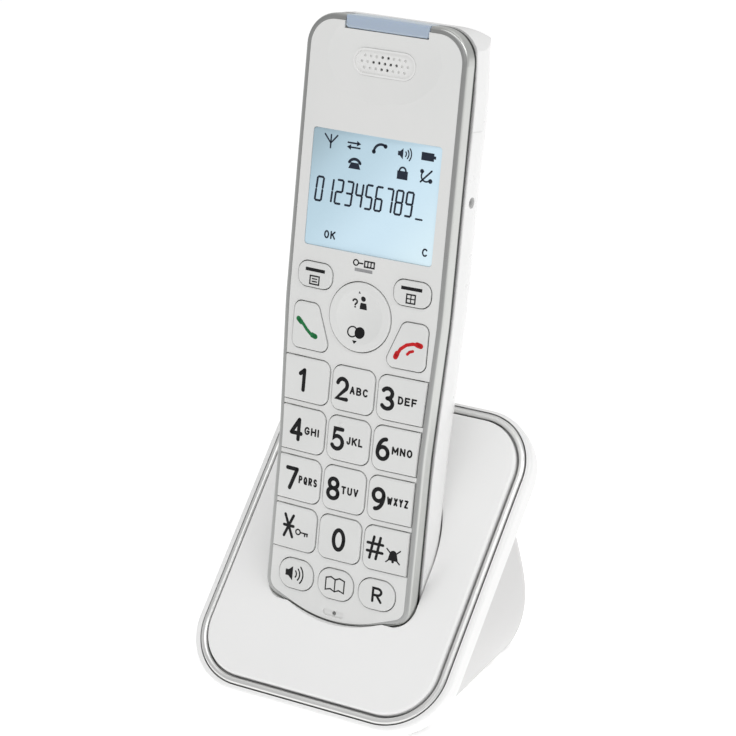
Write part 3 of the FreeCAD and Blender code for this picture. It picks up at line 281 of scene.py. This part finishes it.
def light_bar():
    """Frosted translucent bar, with painted light making it a little brighter towards its front edge."""
    m = Nodes("light_bar", (0.5, 0.58, 0.7), 0.35)
    start = ORIGIN.dot(PRESS)
    # Painted light: the bar grows lighter towards its front edge.
    m.link(m.ramp(m.along(PRESS, start, 6.1 * MM),
                  [(0.0, (0.41, 0.49, 0.60)), (0.35, (0.48, 0.57, 0.66)), (1.0, (0.58, 0.66, 0.72))]),
           m.shader.inputs["Base Color"])
    m.gloss(0.28, 0.42, 220.0)
    m.set("Subsurface Weight", 0.25)
    m.set("Subsurface Radius", (0.002, 0.002, 0.003))
    m.set("Subsurface Scale", 1.0)
    m.set("Coat Weight", 0.25)
    m.bump(m.noise(1800.0, 2.0), 0.000006, 0.6)
    return m.material


def rubber():
    return moulded("rubber", (0.055, 0.055, 0.058), (0.085, 0.085, 0.09), 0.75, 0.00003).material


def black_plastic():
    return moulded("black_plastic", (0.012, 0.012, 0.013), (0.025, 0.025, 0.027), 0.45, 0.00001).material


def nickel(name="nickel", color=(0.62, 0.61, 0.58)):
    m = Nodes(name, color, 0.25)
    m.set("Metallic", 1.0)
    m.tint(tuple(c * 0.85 for c in color), color, 300.0)
    m.gloss(0.18, 0.36, 500.0)
    m.bump(m.noise(4000.0, 2.0), 0.000003, 0.5)
    return m.material


def circuit_board():
    return moulded("circuit_board", (0.02, 0.12, 0.04), (0.03, 0.18, 0.06), 0.4, 0.00001).material


def battery_wrap():
    return moulded("battery_wrap", (0.06, 0.20, 0.08), (0.08, 0.28, 0.11), 0.35, 0.00001).material


def ink(name, color):
    """Screen-printed ink: nearly matt, with a faint unevenness."""
    m = Nodes(name, color, 0.5)
    m.tint(tuple(c * 0.8 for c in color), color, 900.0)
    m.gloss(0.4, 0.55, 700.0)
    m.bump(m.noise(5000.0, 1.0), 0.000003, 0.5)
    m.set("Specular IOR Level", 0.2)
    return m.material


INKS = {
    "black": ink("ink_black", (0.008, 0.008, 0.009)),
    "green": ink("ink_green", (0.012, 0.19, 0.055)),
    "red": ink("ink_red", (0.62, 0.012, 0.016)),
    "navy": ink("ink_navy", (0.018, 0.026, 0.045)),
    "grey": ink("ink_grey", (0.36, 0.36, 0.37)),
}


def dress(material, *names):
    for name in names:
        slots = NODES[name].data.materials
        if len(slots) == 0:
            slots.append(material)
        for index in range(len(slots)):
            slots[index] = material


def smooth(names, angle=math.radians(32)):
    """Shade the rounded CAD faces smoothly without touching their points."""
    for name in names:
        mesh = NODES[name].data
        mesh.shade_smooth()
        mesh.set_sharp_from_angle(angle=angle)


def dress_nodes():
    keys = [n for n in NODES if n.startswith("key_") or n.endswith("_key") or n.startswith("soft_key")]
    dress(shell_white(), "back_shell", "battery_cover", "volume_rocker")
    dress(cradle_top_white(), "base_top_shell")
    dress(cradle_low_shaded_white(), "base_lower_shell")
    dress(face_white(), "front_shell")
    dress(key_white(), *keys)
    dress(ear_pearl(), "earpiece_grille")
    dress(band_silver(), "trim_band")
    dress(ring_silver(), "base_trim_ring")
    dress(display(), "display_window")
    dress(light_bar(), "light_bar")
    dress(rubber(), "rubber_feet", "keypad_mat")
    dress(black_plastic(), "microphone", "headset_jack", "dc_inlet", "contact_holder", "earpiece_speaker",
          "ringer_speaker", "lcd_module", "backlight")
    dress(nickel(), "radio_shield", "antenna", "vibration_motor", "shell_screws", "base_screws",
          "battery_contacts")
    dress(nickel("contact_nickel", (0.72, 0.66, 0.5)), "charge_pads", "charge_contact_left",
          "charge_contact_right")
    dress(circuit_board(), "main_board", "charger_board", "ringer_led_board")
    dress(battery_wrap(), "battery_cells")
    smooth(NODES)


# ------------------------------------------------------------------ printed marks

class Mark:
    """A printed mark in the plane of the handset's face, laid onto a curved surface."""

    def __init__(self, name, surface, body, color):
        self.name = name
        self.surface = surface
        self.body = body
        self.color = color
        self.mesh = bmesh.new()

    def polygon(self, points, hollow=None):
        """A filled shape; hollow is the outline of a hole with as many points."""
        if hollow is None:
            self.fan(points)
            return
        outer = [self.mesh.verts.new((x, 0, z)) for x, z in points]
        inner = [self.mesh.verts.new((x, 0, z)) for x, z in hollow]
        for i in range(len(points)):
            j = (i + 1) % len(points)
            self.mesh.faces.new((outer[i], outer[j], inner[j], inner[i]))

    def fan(self, points):
        corners = [self.mesh.verts.new((x, 0, z)) for x, z in points]
        self.mesh.faces.new(corners)

    def disc(self, x, z, radius, steps=28):
        self.fan(arc(x, z, radius, 0, 360, steps)[:-1])

    def ring(self, x, z, radius, width, steps=32):
        outer = arc(x, z, radius, 0, 360, steps)[:-1]
        self.polygon(outer, arc(x, z, radius - width, 0, 360, steps)[:-1])

    def line(self, points, width, closed=False, caps=True):
        """A stroke of even width through the points, with round ends."""
        path = [Vector(p) for p in points]
        count = len(path)
        left = []
        right = []
        for i, here in enumerate(path):
            before = path[i - 1] if i > 0 or closed else None
            after = path[(i + 1) % count] if i < count - 1 or closed else None
            legs = [(b - a).normalized() for a, b in ((before, here), (here, after))
                    if a is not None and b is not None]
            along = sum(legs, Vector((0, 0))).normalized()
            across = Vector((-along.y, along.x))
            reach = width / 2 / max(across.dot(Vector((-legs[0].y, legs[0].x))), MITRE_LIMIT)
            left.append(here + across * reach)
            right.append(here - across * reach)
        rows = [(self.mesh.verts.new((a.x, 0, a.y)), self.mesh.verts.new((b.x, 0, b.y)))
                for a, b in zip(left, right)]
        for i in range(count if closed else count - 1):
            j = (i + 1) % count
            self.mesh.faces.new((rows[i][0], rows[j][0], rows[j][1], rows[i][1]))
        if caps and not closed:
            self.disc(*path[0], width / 2, 16)
            self.disc(*path[-1], width / 2, 16)

    def glyph(self, letter, x, z, wide, tall, stroke):
        """One letter or digit whose strokes' outer edges fill a box."""
        for path in GLYPHS[letter]:
            self.line([(x + stroke / 2 + px * (wide - stroke), z + stroke / 2 + pz * (tall - stroke))
                       for px, pz in path], stroke)

    def text(self, words, x, z, wide, tall, stroke, gap):
        """Lettering that fills a box from its lower left corner, with even gaps."""
        shares = [GLYPH_WIDE.get(letter, 1.0) for letter in words]
        bars = stroke * shares.count(0.0)
        unit = (wide - gap * (len(words) - 1) - bars) / sum(shares)
        for letter, share in zip(words, shares):
            room = share * unit if share else stroke
            self.glyph(letter, x, z, room, tall, stroke)
            x += room + gap

    def done(self, thick=0.03):
        """Lay the mark on its surface, give it thickness and let it ride."""
        bmesh.ops.triangulate(self.mesh, faces=[f for f in self.mesh.faces if len(f.verts) > 4])
        bmesh.ops.recalc_face_normals(self.mesh, faces=self.mesh.faces)
        for vert in self.mesh.verts:
            x, z = vert.co.x, vert.co.z
            vert.co = on_handset(x, self.surface(x, z) - PRINT_PROUD, z)
        mesh = bpy.data.meshes.new(self.name)
        self.mesh.to_mesh(mesh)
        self.mesh.free()
        mesh.materials.append(INKS[self.color])
        piece = bpy.data.objects.new(self.name, mesh)
        bpy.context.scene.collection.objects.link(piece)
        body = thicken(piece, thick * MM)
        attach(body, self.body)
        return body


def thicken(piece, thick):
    """Give a sheet of print real thickness, sunk into the surface below."""
    bm = bmesh.new()
    bm.from_mesh(piece.data)
    for face in bm.faces:
        face.normal_update()
        if face.normal.dot(PRESS) > 0:
            face.normal_flip()
    made = bmesh.ops.extrude_face_region(bm, geom=list(bm.faces))
    for item in made["geom"]:
        if isinstance(item, bmesh.types.BMVert):
            item.co += PRESS * thick
    bmesh.ops.recalc_face_normals(bm, faces=bm.faces)
    bm.to_mesh(piece.data)
    bm.free()
    return piece


def arc(x, z, radius, start, end, steps=16, tall=None):
    """Points along an arc, in degrees; tall makes it an ellipse."""
    tall = radius if tall is None else tall
    angles = [math.radians(start + (end - start) * i / steps) for i in range(steps + 1)]
    return [(x + radius * math.cos(a), z + tall * math.sin(a)) for a in angles]


def turned(points, x, z, degrees, scale=1.0):
    """The points turned about the origin, scaled and moved."""
    c, s = math.cos(math.radians(degrees)), math.sin(math.radians(degrees))
    return [(x + scale * (px * c - pz * s), z + scale * (px * s + pz * c)) for px, pz in points]


# ------------------------------------------------------------------ lettering

def legs(*corners):
    """Straight strokes from corner to corner, so that sharp corners stay full."""
    return [list(pair) for pair in zip(corners, corners[1:])]


# Each letter is a list of strokes in a box of one by one.
OVAL = arc(0.5, 0.5, 0.5, 0, 360, 28, 0.5)
P_BOWL = [(0, 0), (0, 1)] + arc(0.52, 0.74, 0.48, 90, -90, 12, 0.26) + [(0, 0.48)]
GLYPH_WIDE = {"I": 0.0, "J": 0.75, "L": 0.85, "M": 1.2, "W": 1.4}
GLYPHS = {
    "0": [OVAL],
    "1": legs((0.3, 0.8), (0.7, 1), (0.7, 0)),
    "2": [arc(0.5, 0.7, 0.48, 165, -35, 14, 0.3) + [(0.03, 0), (1, 0)]],
    "3": [arc(0.46, 0.755, 0.46, 150, -90, 14, 0.245), arc(0.48, 0.255, 0.52, 90, -150, 14, 0.255)],
    "4": legs((0.74, 0), (0.74, 1), (0, 0.3), (1, 0.3)),
    "5": [[(0.92, 1), (0.18, 1), (0.06, 0.5)] + arc(0.46, 0.32, 0.54, 125, -150, 16, 0.32)],
    "6": [arc(0.5, 0.3, 0.5, 0, 360, 26, 0.3), arc(0.75, 0.32, 0.75, 180, 90, 12, 0.68)],
    "7": legs((0, 1), (1, 1), (0.36, 0)),
    "8": [arc(0.5, 0.76, 0.42, 0, 360, 22, 0.24), arc(0.5, 0.26, 0.5, 0, 360, 26, 0.26)],
    "9": [arc(0.5, 0.7, 0.5, 0, 360, 26, 0.3), arc(0.25, 0.68, 0.75, 0, -90, 12, 0.68)],
    "A": legs((0, 0), (0.5, 1), (1, 0)) + [[(0.2, 0.34), (0.8, 0.34)]],
    "B": [[(0, 0), (0, 1)] + arc(0.5, 0.76, 0.42, 90, -90, 12, 0.24) + [(0, 0.52)],
          arc(0.5, 0.26, 0.5, 90, -90, 12, 0.26) + [(0, 0)]],
    "C": [arc(0.55, 0.5, 0.55, 45, 315, 20, 0.5)],
    "D": [[(0, 0), (0, 1)] + arc(0.4, 0.5, 0.6, 90, -90, 16, 0.5) + [(0, 0)]],
    "E": [[(1, 1), (0, 1), (0, 0), (1, 0)], [(0, 0.52), (0.85, 0.52)]],
    "F": [[(1, 1), (0, 1), (0, 0)], [(0, 0.5), (0.85, 0.5)]],
    "G": [arc(0.52, 0.5, 0.52, 45, 345, 20, 0.5) + [(1, 0.46), (0.58, 0.46)]],
    "H": [[(0, 0), (0, 1)], [(1, 0), (1, 1)], [(0, 0.52), (1, 0.52)]],
    "I": [[(0, 0), (0, 1)]],
    "J": [[(1, 1), (1, 0.4)] + arc(0.5, 0.32, 0.5, 0, -170, 12, 0.32)],
    "K": [[(0, 0), (0, 1)], [(1, 1), (0, 0.4)], [(0.36, 0.62), (1, 0)]],
    "L": [[(0, 1), (0, 0), (1, 0)]],
    "M": legs((0, 0), (0, 1), (0.5, 0.3), (1, 1), (1, 0)),
    "N": legs((0, 0), (0, 1), (1, 0), (1, 1)),
    "O": [OVAL],
    "P": [P_BOWL],
    "Q": [OVAL, [(0.6, 0.28), (1, 0)]],
    "R": [P_BOWL, [(0.45, 0.48), (1, 0)]],
    "S": [arc(0.5, 0.75, 0.47, 35, 265, 14, 0.25), arc(0.5, 0.25, 0.5, 90, -145, 14, 0.25)],
    "T": [[(0, 1), (1, 1)], [(0.5, 0), (0.5, 1)]],
    "U": [[(0, 1), (0, 0.4)] + arc(0.5, 0.35, 0.5, 180, 360, 14, 0.35) + [(1, 1)]],
    "V": legs((0, 1), (0.5, 0), (1, 1)),
    "W": legs((0, 1), (0.25, 0), (0.5, 0.8), (0.75, 0), (1, 1)),
    "X": [[(0, 0), (1, 1)], [(0, 1), (1, 0)]],
    "Y": legs((0, 1), (0.5, 0.5), (1, 1)) + [[(0.5, 0.5), (0.5, 0)]],
    "Z": legs((0, 1), (1, 1), (0, 0), (1, 0)),
    "?": [arc(0.5, 0.72, 0.48, 165, -60, 12, 0.28) + [(0.5, 0.3)], [(0.5, 0.0), (0.5, 0.02)]],
}


# ------------------------------------------------------------------ key legends

DIGIT_PITCH = 14.3
DIGIT_LOW = 66.2
DIGIT_TALL = 6.8
LETTERS_UP = 2.4
LETTERS_TALL = 2.3
DIGIT_WIDE = 4.4
DIGIT_STROKE = 1.15
LETTERS_STROKE = 0.5
LETTERS_GAP = 0.42
# digit: row, left edge of the digit, its letters, their left edge and width
DIGIT_KEYS = {
    "1": (0, -18.9, "", 0.0, 0.0), "2": (0, -5.5, "ABC", -0.8, 5.8), "3": (0, 9.0, "DEF", 14.4, 5.8),
    "4": (1, -19.3, "GHI", -14.4, 4.9), "5": (1, -5.5, "JKL", -0.4, 5.2),
    "6": (1, 9.0, "MNO", 14.0, 6.3), "7": (2, -19.5, "PQRS", -14.9, 6.2),
    "8": (2, -5.5, "TUV", -0.7, 5.5), "9": (2, 9.0, "WXYZ", 13.9, 6.6),
}


def print_digits():
    for digit, (row, left, letters, letters_left, letters_wide) in DIGIT_KEYS.items():
        low = DIGIT_LOW - DIGIT_PITCH * row
        mark = Mark("legend_" + digit, key_front, "key_" + digit, "black")
        mark.glyph(digit, left, low, DIGIT_WIDE, DIGIT_TALL, DIGIT_STROKE)
        if letters:
            mark.text(letters, letters_left, low + LETTERS_UP, letters_wide, LETTERS_TALL,
                      LETTERS_STROKE, LETTERS_GAP)
        mark.done()
    low = DIGIT_LOW - DIGIT_PITCH * 3
    zero = Mark("legend_0", key_front, "key_0", "black")
    zero.glyph("0", -2.3, low, DIGIT_WIDE, DIGIT_TALL, DIGIT_STROKE)
    zero.done()


def print_star():
    """An asterisk of three strokes, and a small key for the keypad lock."""
    mark = Mark("legend_star", key_front, "key_star", "black")
    x, z = -16.9, 27.2
    for side in (-1, 1):
        mark.line([(x - side * 1.4, z - 3.1), (x + side * 1.4, z + 3.1)], 0.85)
    mark.line([(x - 1.6, z), (x + 1.6, z)], 0.85)
    mark.ring(-13.6, 26.0, 0.95, 0.4)
    mark.line([(-12.7, 26.0), (-10.4, 26.0)], 0.42)
    mark.line([(-11.3, 26.0), (-11.3, 25.2)], 0.42)
    mark.line([(-10.5, 26.0), (-10.5, 25.3)], 0.42)
    mark.done()


def print_hash():
    """A hash sign, and a small crossed-out bell for the silent mode."""
    mark = Mark("legend_hash", key_front, "key_hash", "black")
    x, z = 11.6, 27.0
    for step in (-1, 1):
        mark.line([(x - 2.4, z + step * 1.15), (x + 2.4, z + step * 1.15)], 0.8)
        mark.line([(x + step * 1.0 - 0.5, z - 3.1), (x + step * 1.0 + 0.5, z + 3.1)], 0.8)
    bell_x, bell_z = 17.4, 25.7
    bell_dome = arc(bell_x, bell_z + 0.5, 1.15, 180, 0, 12)
    mark.fan(bell_dome + [(bell_x + 1.6, bell_z - 1.3), (bell_x - 1.6, bell_z - 1.3)])
    mark.disc(bell_x, bell_z - 1.55, 0.4, 14)
    mark.line([(bell_x - 2.1, bell_z - 1.9), (bell_x + 2.1, bell_z + 1.9)], 0.38)
    mark.line([(bell_x - 2.1, bell_z + 1.9), (bell_x + 2.1, bell_z - 1.9)], 0.38)
    mark.done()


def handset_shape(mark, x, z, size, degrees):
    """A telephone receiver drawn as an arched stroke with two heavier ends."""
    bend = turned(arc(0, -1.2, 2.0, 150, 30, 12), x, z, degrees, size)
    mark.line(bend, 0.62 * size)
    for end in (bend[0], bend[-1]):
        mark.disc(*end, 0.52 * size, 16)


def print_call_keys():
    talk = Mark("legend_talk", key_front, "talk_key", "green")
    handset_stroke = [(-19.2, 86.2), (-18.0, 85.5), (-16.6, 84.1), (-15.2, 83.0), (-13.6, 82.6)]
    talk.line(handset_stroke, 0.95)
    talk.line([(-19.6, 86.6), (-18.6, 85.8)], 1.45)
    talk.line([(-14.6, 82.8), (-13.5, 82.5)], 1.45)
    talk.done()
    end = Mark("legend_end", key_front, "end_key", "red")
    end.line([(12.6, 82.0), (13.7, 84.0), (15.4, 85.4), (17.4, 86.0), (19.4, 85.9)], 0.95)
    end.line([(12.4, 81.6), (12.8, 82.6)], 1.5)
    end.line([(18.6, 86.0), (19.7, 85.8)], 1.5)
    end.line([(15.9, 82.9), (16.5, 83.6), (17.5, 84.0)], 0.8)
    end.done()


def print_soft_keys():
    for side, name in ((-1, "soft_key_left"), (1, "soft_key_right")):
        mark = Mark("legend_" + name, key_front, name, "black")
        middle = 15.4 * side
        mark.line([(middle - 3.2, 101.0), (middle + 3.2, 101.0)], 0.95, caps=False)
        low = 97.0
        if side < 0:
            mark.line([(middle - 1.5, low), (middle + 1.5, low), (middle + 1.5, low + 2.3),
                       (middle - 1.5, low + 2.3)], 0.4, closed=True)
            for step in (0.75, 1.5):
                mark.line([(middle - 0.9, low + step), (middle + 0.9, low + step)], 0.36, caps=False)
        else:
            mark.line([(middle - 1.3, low), (middle + 1.3, low), (middle + 1.3, low + 2.4),
                       (middle - 1.3, low + 2.4)], 0.4, closed=True)
            mark.line([(middle - 1.3, low + 1.2), (middle + 1.3, low + 1.2)], 0.32, caps=False)
            mark.line([(middle, low), (middle, low + 2.4)], 0.32, caps=False)
        mark.done()


def print_nav_key():
    """Contacts above, a pair of call records below, each with its small arrow."""
    mark = Mark("legend_nav", nav_front, "nav_key", "black")
    mark.disc(0.6, 95.6, 0.75)
    mark.fan([(-0.6, 92.6), (1.8, 92.6), (1.5, 94.4), (-0.3, 94.4)])
    mark.fan([(-0.9, 97.0), (-0.2, 97.0), (-0.55, 97.7)])
    mark.glyph("?", -2.9, 92.7, 1.8, 2.7, 0.5)
    mark.ring(-2.0, 86.0, 1.6, 0.38)
    mark.disc(0.3, 86.0, 1.6)
    mark.fan([(-1.6, 83.7), (-0.85, 82.8), (-0.1, 83.7)])
    mark.done()


def print_menu_keys():
    speaker = Mark("legend_speaker", key_front, "speaker_key", "black")
    x, z = -15.2, 13.7
    speaker.fan([(x - 1.4, z - 0.9), (x - 0.4, z - 0.9), (x + 1.0, z - 2.1), (x + 1.0, z + 2.1),
                 (x - 0.4, z + 0.9), (x - 1.4, z + 0.9)])
    for radius in (1.3, 2.4, 3.5):
        speaker.line(arc(x + 1.0, z, radius, -42, 42, 10), 0.42)
    speaker.done()
    book = Mark("legend_phonebook", key_front, "phonebook_key", "black")
    for side in (-1, 1):
        page = [(0.0, 11.6), (side * 1.4, 12.2), (side * 3.0, 11.7), (side * 3.0, 15.2), (side * 1.4, 15.7),
                (0.0, 15.1)]
        book.line(page, 0.4, closed=True)
    book.done()
    recall = Mark("legend_recall", key_front, "recall_key", "black")
    recall.glyph("R", 11.9, 11.4, 3.3, 4.5, 0.72)
    recall.done()


def print_face():
    """The small battery and message signs printed under the display."""
    mark = Mark("face_icons", bowed, "handset", "black")
    mark.ring(-2.8, 105.3, 0.95, 0.35)
    mark.line([(-2.0, 105.3), (-0.6, 105.3)], 0.4)
    mark.line([(0.0, 104.5), (3.0, 104.5), (3.0, 106.1), (0.0, 106.1)], 0.4, closed=True)
    mark.line([(1.0, 104.6), (1.0, 106.0)], 0.35, caps=False)
    mark.line([(2.0, 104.6), (2.0, 106.0)], 0.35, caps=False)
    mark.done()
    bar = Mark("face_bar", bowed, "handset", "grey")
    bar.line([(-3.0, 103.4), (2.6, 103.4)], 0.9, caps=False)
    bar.done()


# ------------------------------------------------------------------ display contents

SEGMENT_TALL = 3.3
SEGMENT_WIDE = 2.0
SEGMENTS = {"0": "abcdef", "1": "bc", "2": "abged", "3": "abgcd", "4": "fgbc", "5": "afgcd",
            "6": "afgedc", "7": "abc", "8": "abcdefg", "9": "abcdfg"}


def segment_digit(mark, digit, x, z):
    """One slanted seven-segment digit with its lower left corner at a point."""
    wide, tall, gap, lean = SEGMENT_WIDE, SEGMENT_TALL, 0.32, 0.07
    lines = {"a": ((gap, 2 * tall), (wide - gap, 2 * tall)), "g": ((gap, tall), (wide - gap, tall)),
             "d": ((gap, 0), (wide - gap, 0)), "f": ((0, tall + gap), (0, 2 * tall - gap)),
             "b": ((wide, tall + gap), (wide, 2 * tall - gap)), "e": ((0, gap), (0, tall - gap)),
             "c": ((wide, gap), (wide, tall - gap))}
    for name in SEGMENTS[digit]:
        stroke = [(x + px + lean * pz, z + pz) for px, pz in lines[name]]
        mark.line(stroke, 0.6)


def print_display():
    row = Mark("display_digits", screen_front, "handset", "navy")
    for index, digit in enumerate("0123456789"):
        segment_digit(row, digit, -18.2 + 3.17 * index, 120.3)
    row.line([(14.0, 120.0), (15.9, 120.0)], 0.5)
    row.done()
    words = Mark("display_words", screen_front, "handset", "navy")
    words.text("OK", -14.2, 110.2, 3.6, 2.3, 0.45, 0.4)
    words.glyph("C", 16.9, 110.2, 1.7, 2.3, 0.45)
    words.done()
    signs = Mark("display_signs", screen_front, "handset", "navy")
    signs.line([(-14.6, 135.3), (-14.6, 138.9)], 0.45)
    signs.line([(-16.6, 138.9), (-14.6, 136.6), (-12.6, 138.9)], 0.45)
    for side, up in ((1, 137.6), (-1, 136.4)):
        signs.line([(-7.2 - side * 1.9, up), (-7.2 + side * 1.5, up)], 0.45)
        signs.fan([(-7.2 + side * 2.2, up), (-7.2 + side * 0.9, up + side * 0.75),
                   (-7.2 + side * 0.9, up - side * 0.75)])
    handset_shape(signs, 0.8, 137.4, 1.15, 28)
    signs.fan([(6.7, 136.4), (7.3, 136.4), (8.3, 135.5), (8.3, 138.5), (7.3, 137.6), (6.7, 137.6)])
    for radius in (1.0, 1.8, 2.6):
        signs.line(arc(8.3, 137.0, radius, -38, 38, 8), 0.36)
    signs.fan([(14.0, 136.2), (17.9, 136.2), (17.9, 138.4), (14.0, 138.4)])
    signs.fan([(17.9, 136.9), (18.5, 136.9), (18.5, 137.7), (17.9, 137.7)])
    signs.fan([(-8.4, 130.6), (-4.6, 130.6), (-5.3, 132.3), (-7.7, 132.3)])
    signs.line(arc(-6.5, 131.3, 2.0, 150, 30, 10), 0.8)
    signs.fan([(7.0, 130.0), (10.3, 130.0), (10.3, 132.3), (7.0, 132.3)])
    signs.line(arc(8.65, 132.3, 1.0, 180, 0, 10), 0.5)
    signs.line([(14.4, 130.3), (17.6, 133.6)], 0.5)
    signs.line(arc(16.0, 132.0, 1.5, 130, 320, 12), 0.45)
    signs.disc(17.4, 130.8, 0.65, 16)
    signs.disc(14.6, 133.2, 0.6, 16)
    signs.done()


# ------------------------------------------------------------------ raised details

def dome(name, x, z, radius, tall, surface, body, material):
    """A low raised dot, as the one that marks the 5."""
    bm = bmesh.new()
    rings = 6
    steps = 24
    rows = []
    for ring in range(rings):
        slope = math.pi / 2 * ring / rings
        out = radius * math.cos(slope)
        rows.append([bm.verts.new(on_handset(px, surface(px, pz) + 0.1 - (tall + 0.1) * math.sin(slope), pz))
                     for px, pz in arc(x, z, out, 0, 360, steps)[:-1]])
    top = bm.verts.new(on_handset(x, surface(x, z) - tall, z))
    for low, high in zip(rows, rows[1:]):
        for i in range(steps):
            j = (i + 1) % steps
            bm.faces.new((low[i], low[j], high[j], high[i]))
    for i in range(steps):
        bm.faces.new((rows[-1][i], rows[-1][(i + 1) % steps], top))
    bm.faces.new(rows[0])
    bmesh.ops.recalc_face_normals(bm, faces=bm.faces)
    mesh = bpy.data.meshes.new(name)
    bm.to_mesh(mesh)
    bm.free()
    mesh.shade_smooth()
    mesh.materials.append(material)
    piece = bpy.data.objects.new(name, mesh)
    bpy.context.scene.collection.objects.link(piece)
    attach(piece, body)


# ------------------------------------------------------------------ stage, lights, camera

def floor_white():
    """The pale floor, lit a little from below as a light table is."""
    m = Nodes("floor_white", (0.9, 0.9, 0.9), 0.7)
    m.tint((0.89, 0.89, 0.89), (0.9, 0.9, 0.9), 3.0)
    m.set("Emission Color", (1.0, 1.0, 1.0, 1.0))
    m.set("Emission Strength", 0.45)
    return m.material


def make_floor():
    half = 3.0
    corners = [(-half, -half, 0), (half, -half, 0), (half, half, 0), (-half, half, 0)]
    mesh = bpy.data.meshes.new("floor")
    mesh.from_pydata(corners, [], [(0, 1, 2, 3)])
    mesh.materials.append(floor_white())
    floor = bpy.data.objects.new("floor", mesh)
    bpy.context.scene.collection.objects.link(floor)


def softbox(name, place, target, width, height, power):
    light = bpy.data.lights.new(name, "AREA")
    light.shape = "RECTANGLE"
    light.size = width
    light.size_y = height
    light.energy = power
    lamp = bpy.data.objects.new(name, light)
    lamp.location = place
    lamp.rotation_euler = (Vector(target) - Vector(place)).to_track_quat("-Z", "Y").to_euler()
    bpy.context.scene.collection.objects.link(lamp)


def make_lights():
    middle = (0.0, 0.0, 0.09)
    softbox("key_light", (0.75, -0.1, 0.9), middle, 0.6, 0.6, 2.4)
    softbox("top_light", (0.0, -0.4, 1.2), middle, 0.8, 0.5, 2.7)
    softbox("front_light", (0.25, -0.95, 0.75), middle, 0.7, 0.5, 0.5)
    softbox("back_light", (0.1, 0.9, 0.9), middle, 0.9, 0.5, 1.1)
    world = bpy.data.worlds.new("studio")
    world.use_nodes = True
    world.node_tree.nodes["Background"].inputs["Color"].default_value = (1.0, 1.0, 1.0, 1.0)
    world.node_tree.nodes["Background"].inputs["Strength"].default_value = 0.49
    bpy.context.scene.world = world
    bpy.context.scene.view_settings.view_transform = "Standard"


def make_camera():
    """The view from the front right and above, slightly rolled."""
    azimuth, elevation, roll = math.radians(31.1), math.radians(21.97), math.radians(-0.64)
    distance = 0.7814
    target = Vector((0.0, 0.0015, 0.0928))
    back = Vector((math.sin(azimuth) * math.cos(elevation), -math.cos(azimuth) * math.cos(elevation),
                   math.sin(elevation)))
    right = Vector((math.cos(azimuth), math.sin(azimuth), 0.0))
    up = back.cross(right)
    across = right * math.cos(roll) + up * math.sin(roll)
    upward = up * math.cos(roll) - right * math.sin(roll)
    camera = bpy.data.objects.new("camera", bpy.data.cameras.new("camera"))
    camera.data.lens = 137.4
    camera.data.sensor_width = 36.0
    camera.data.clip_start = 0.01
    turn = Matrix((across, upward, back)).transposed().to_4x4()
    camera.matrix_world = Matrix.Translation(target + back * distance) @ turn
    bpy.context.scene.collection.objects.link(camera)
    bpy.context.scene.camera = camera


make_camera()
make_lights()
make_floor()
dress_nodes()
print_digits()
print_star()
print_hash()
print_call_keys()
print_soft_keys()
print_nav_key()
print_menu_keys()
print_face()
print_display()
dome("key_5_dot", -2.6, 59.6, 0.7, 0.3, key_front, "key_5", NODES["key_5"].data.materials[0])
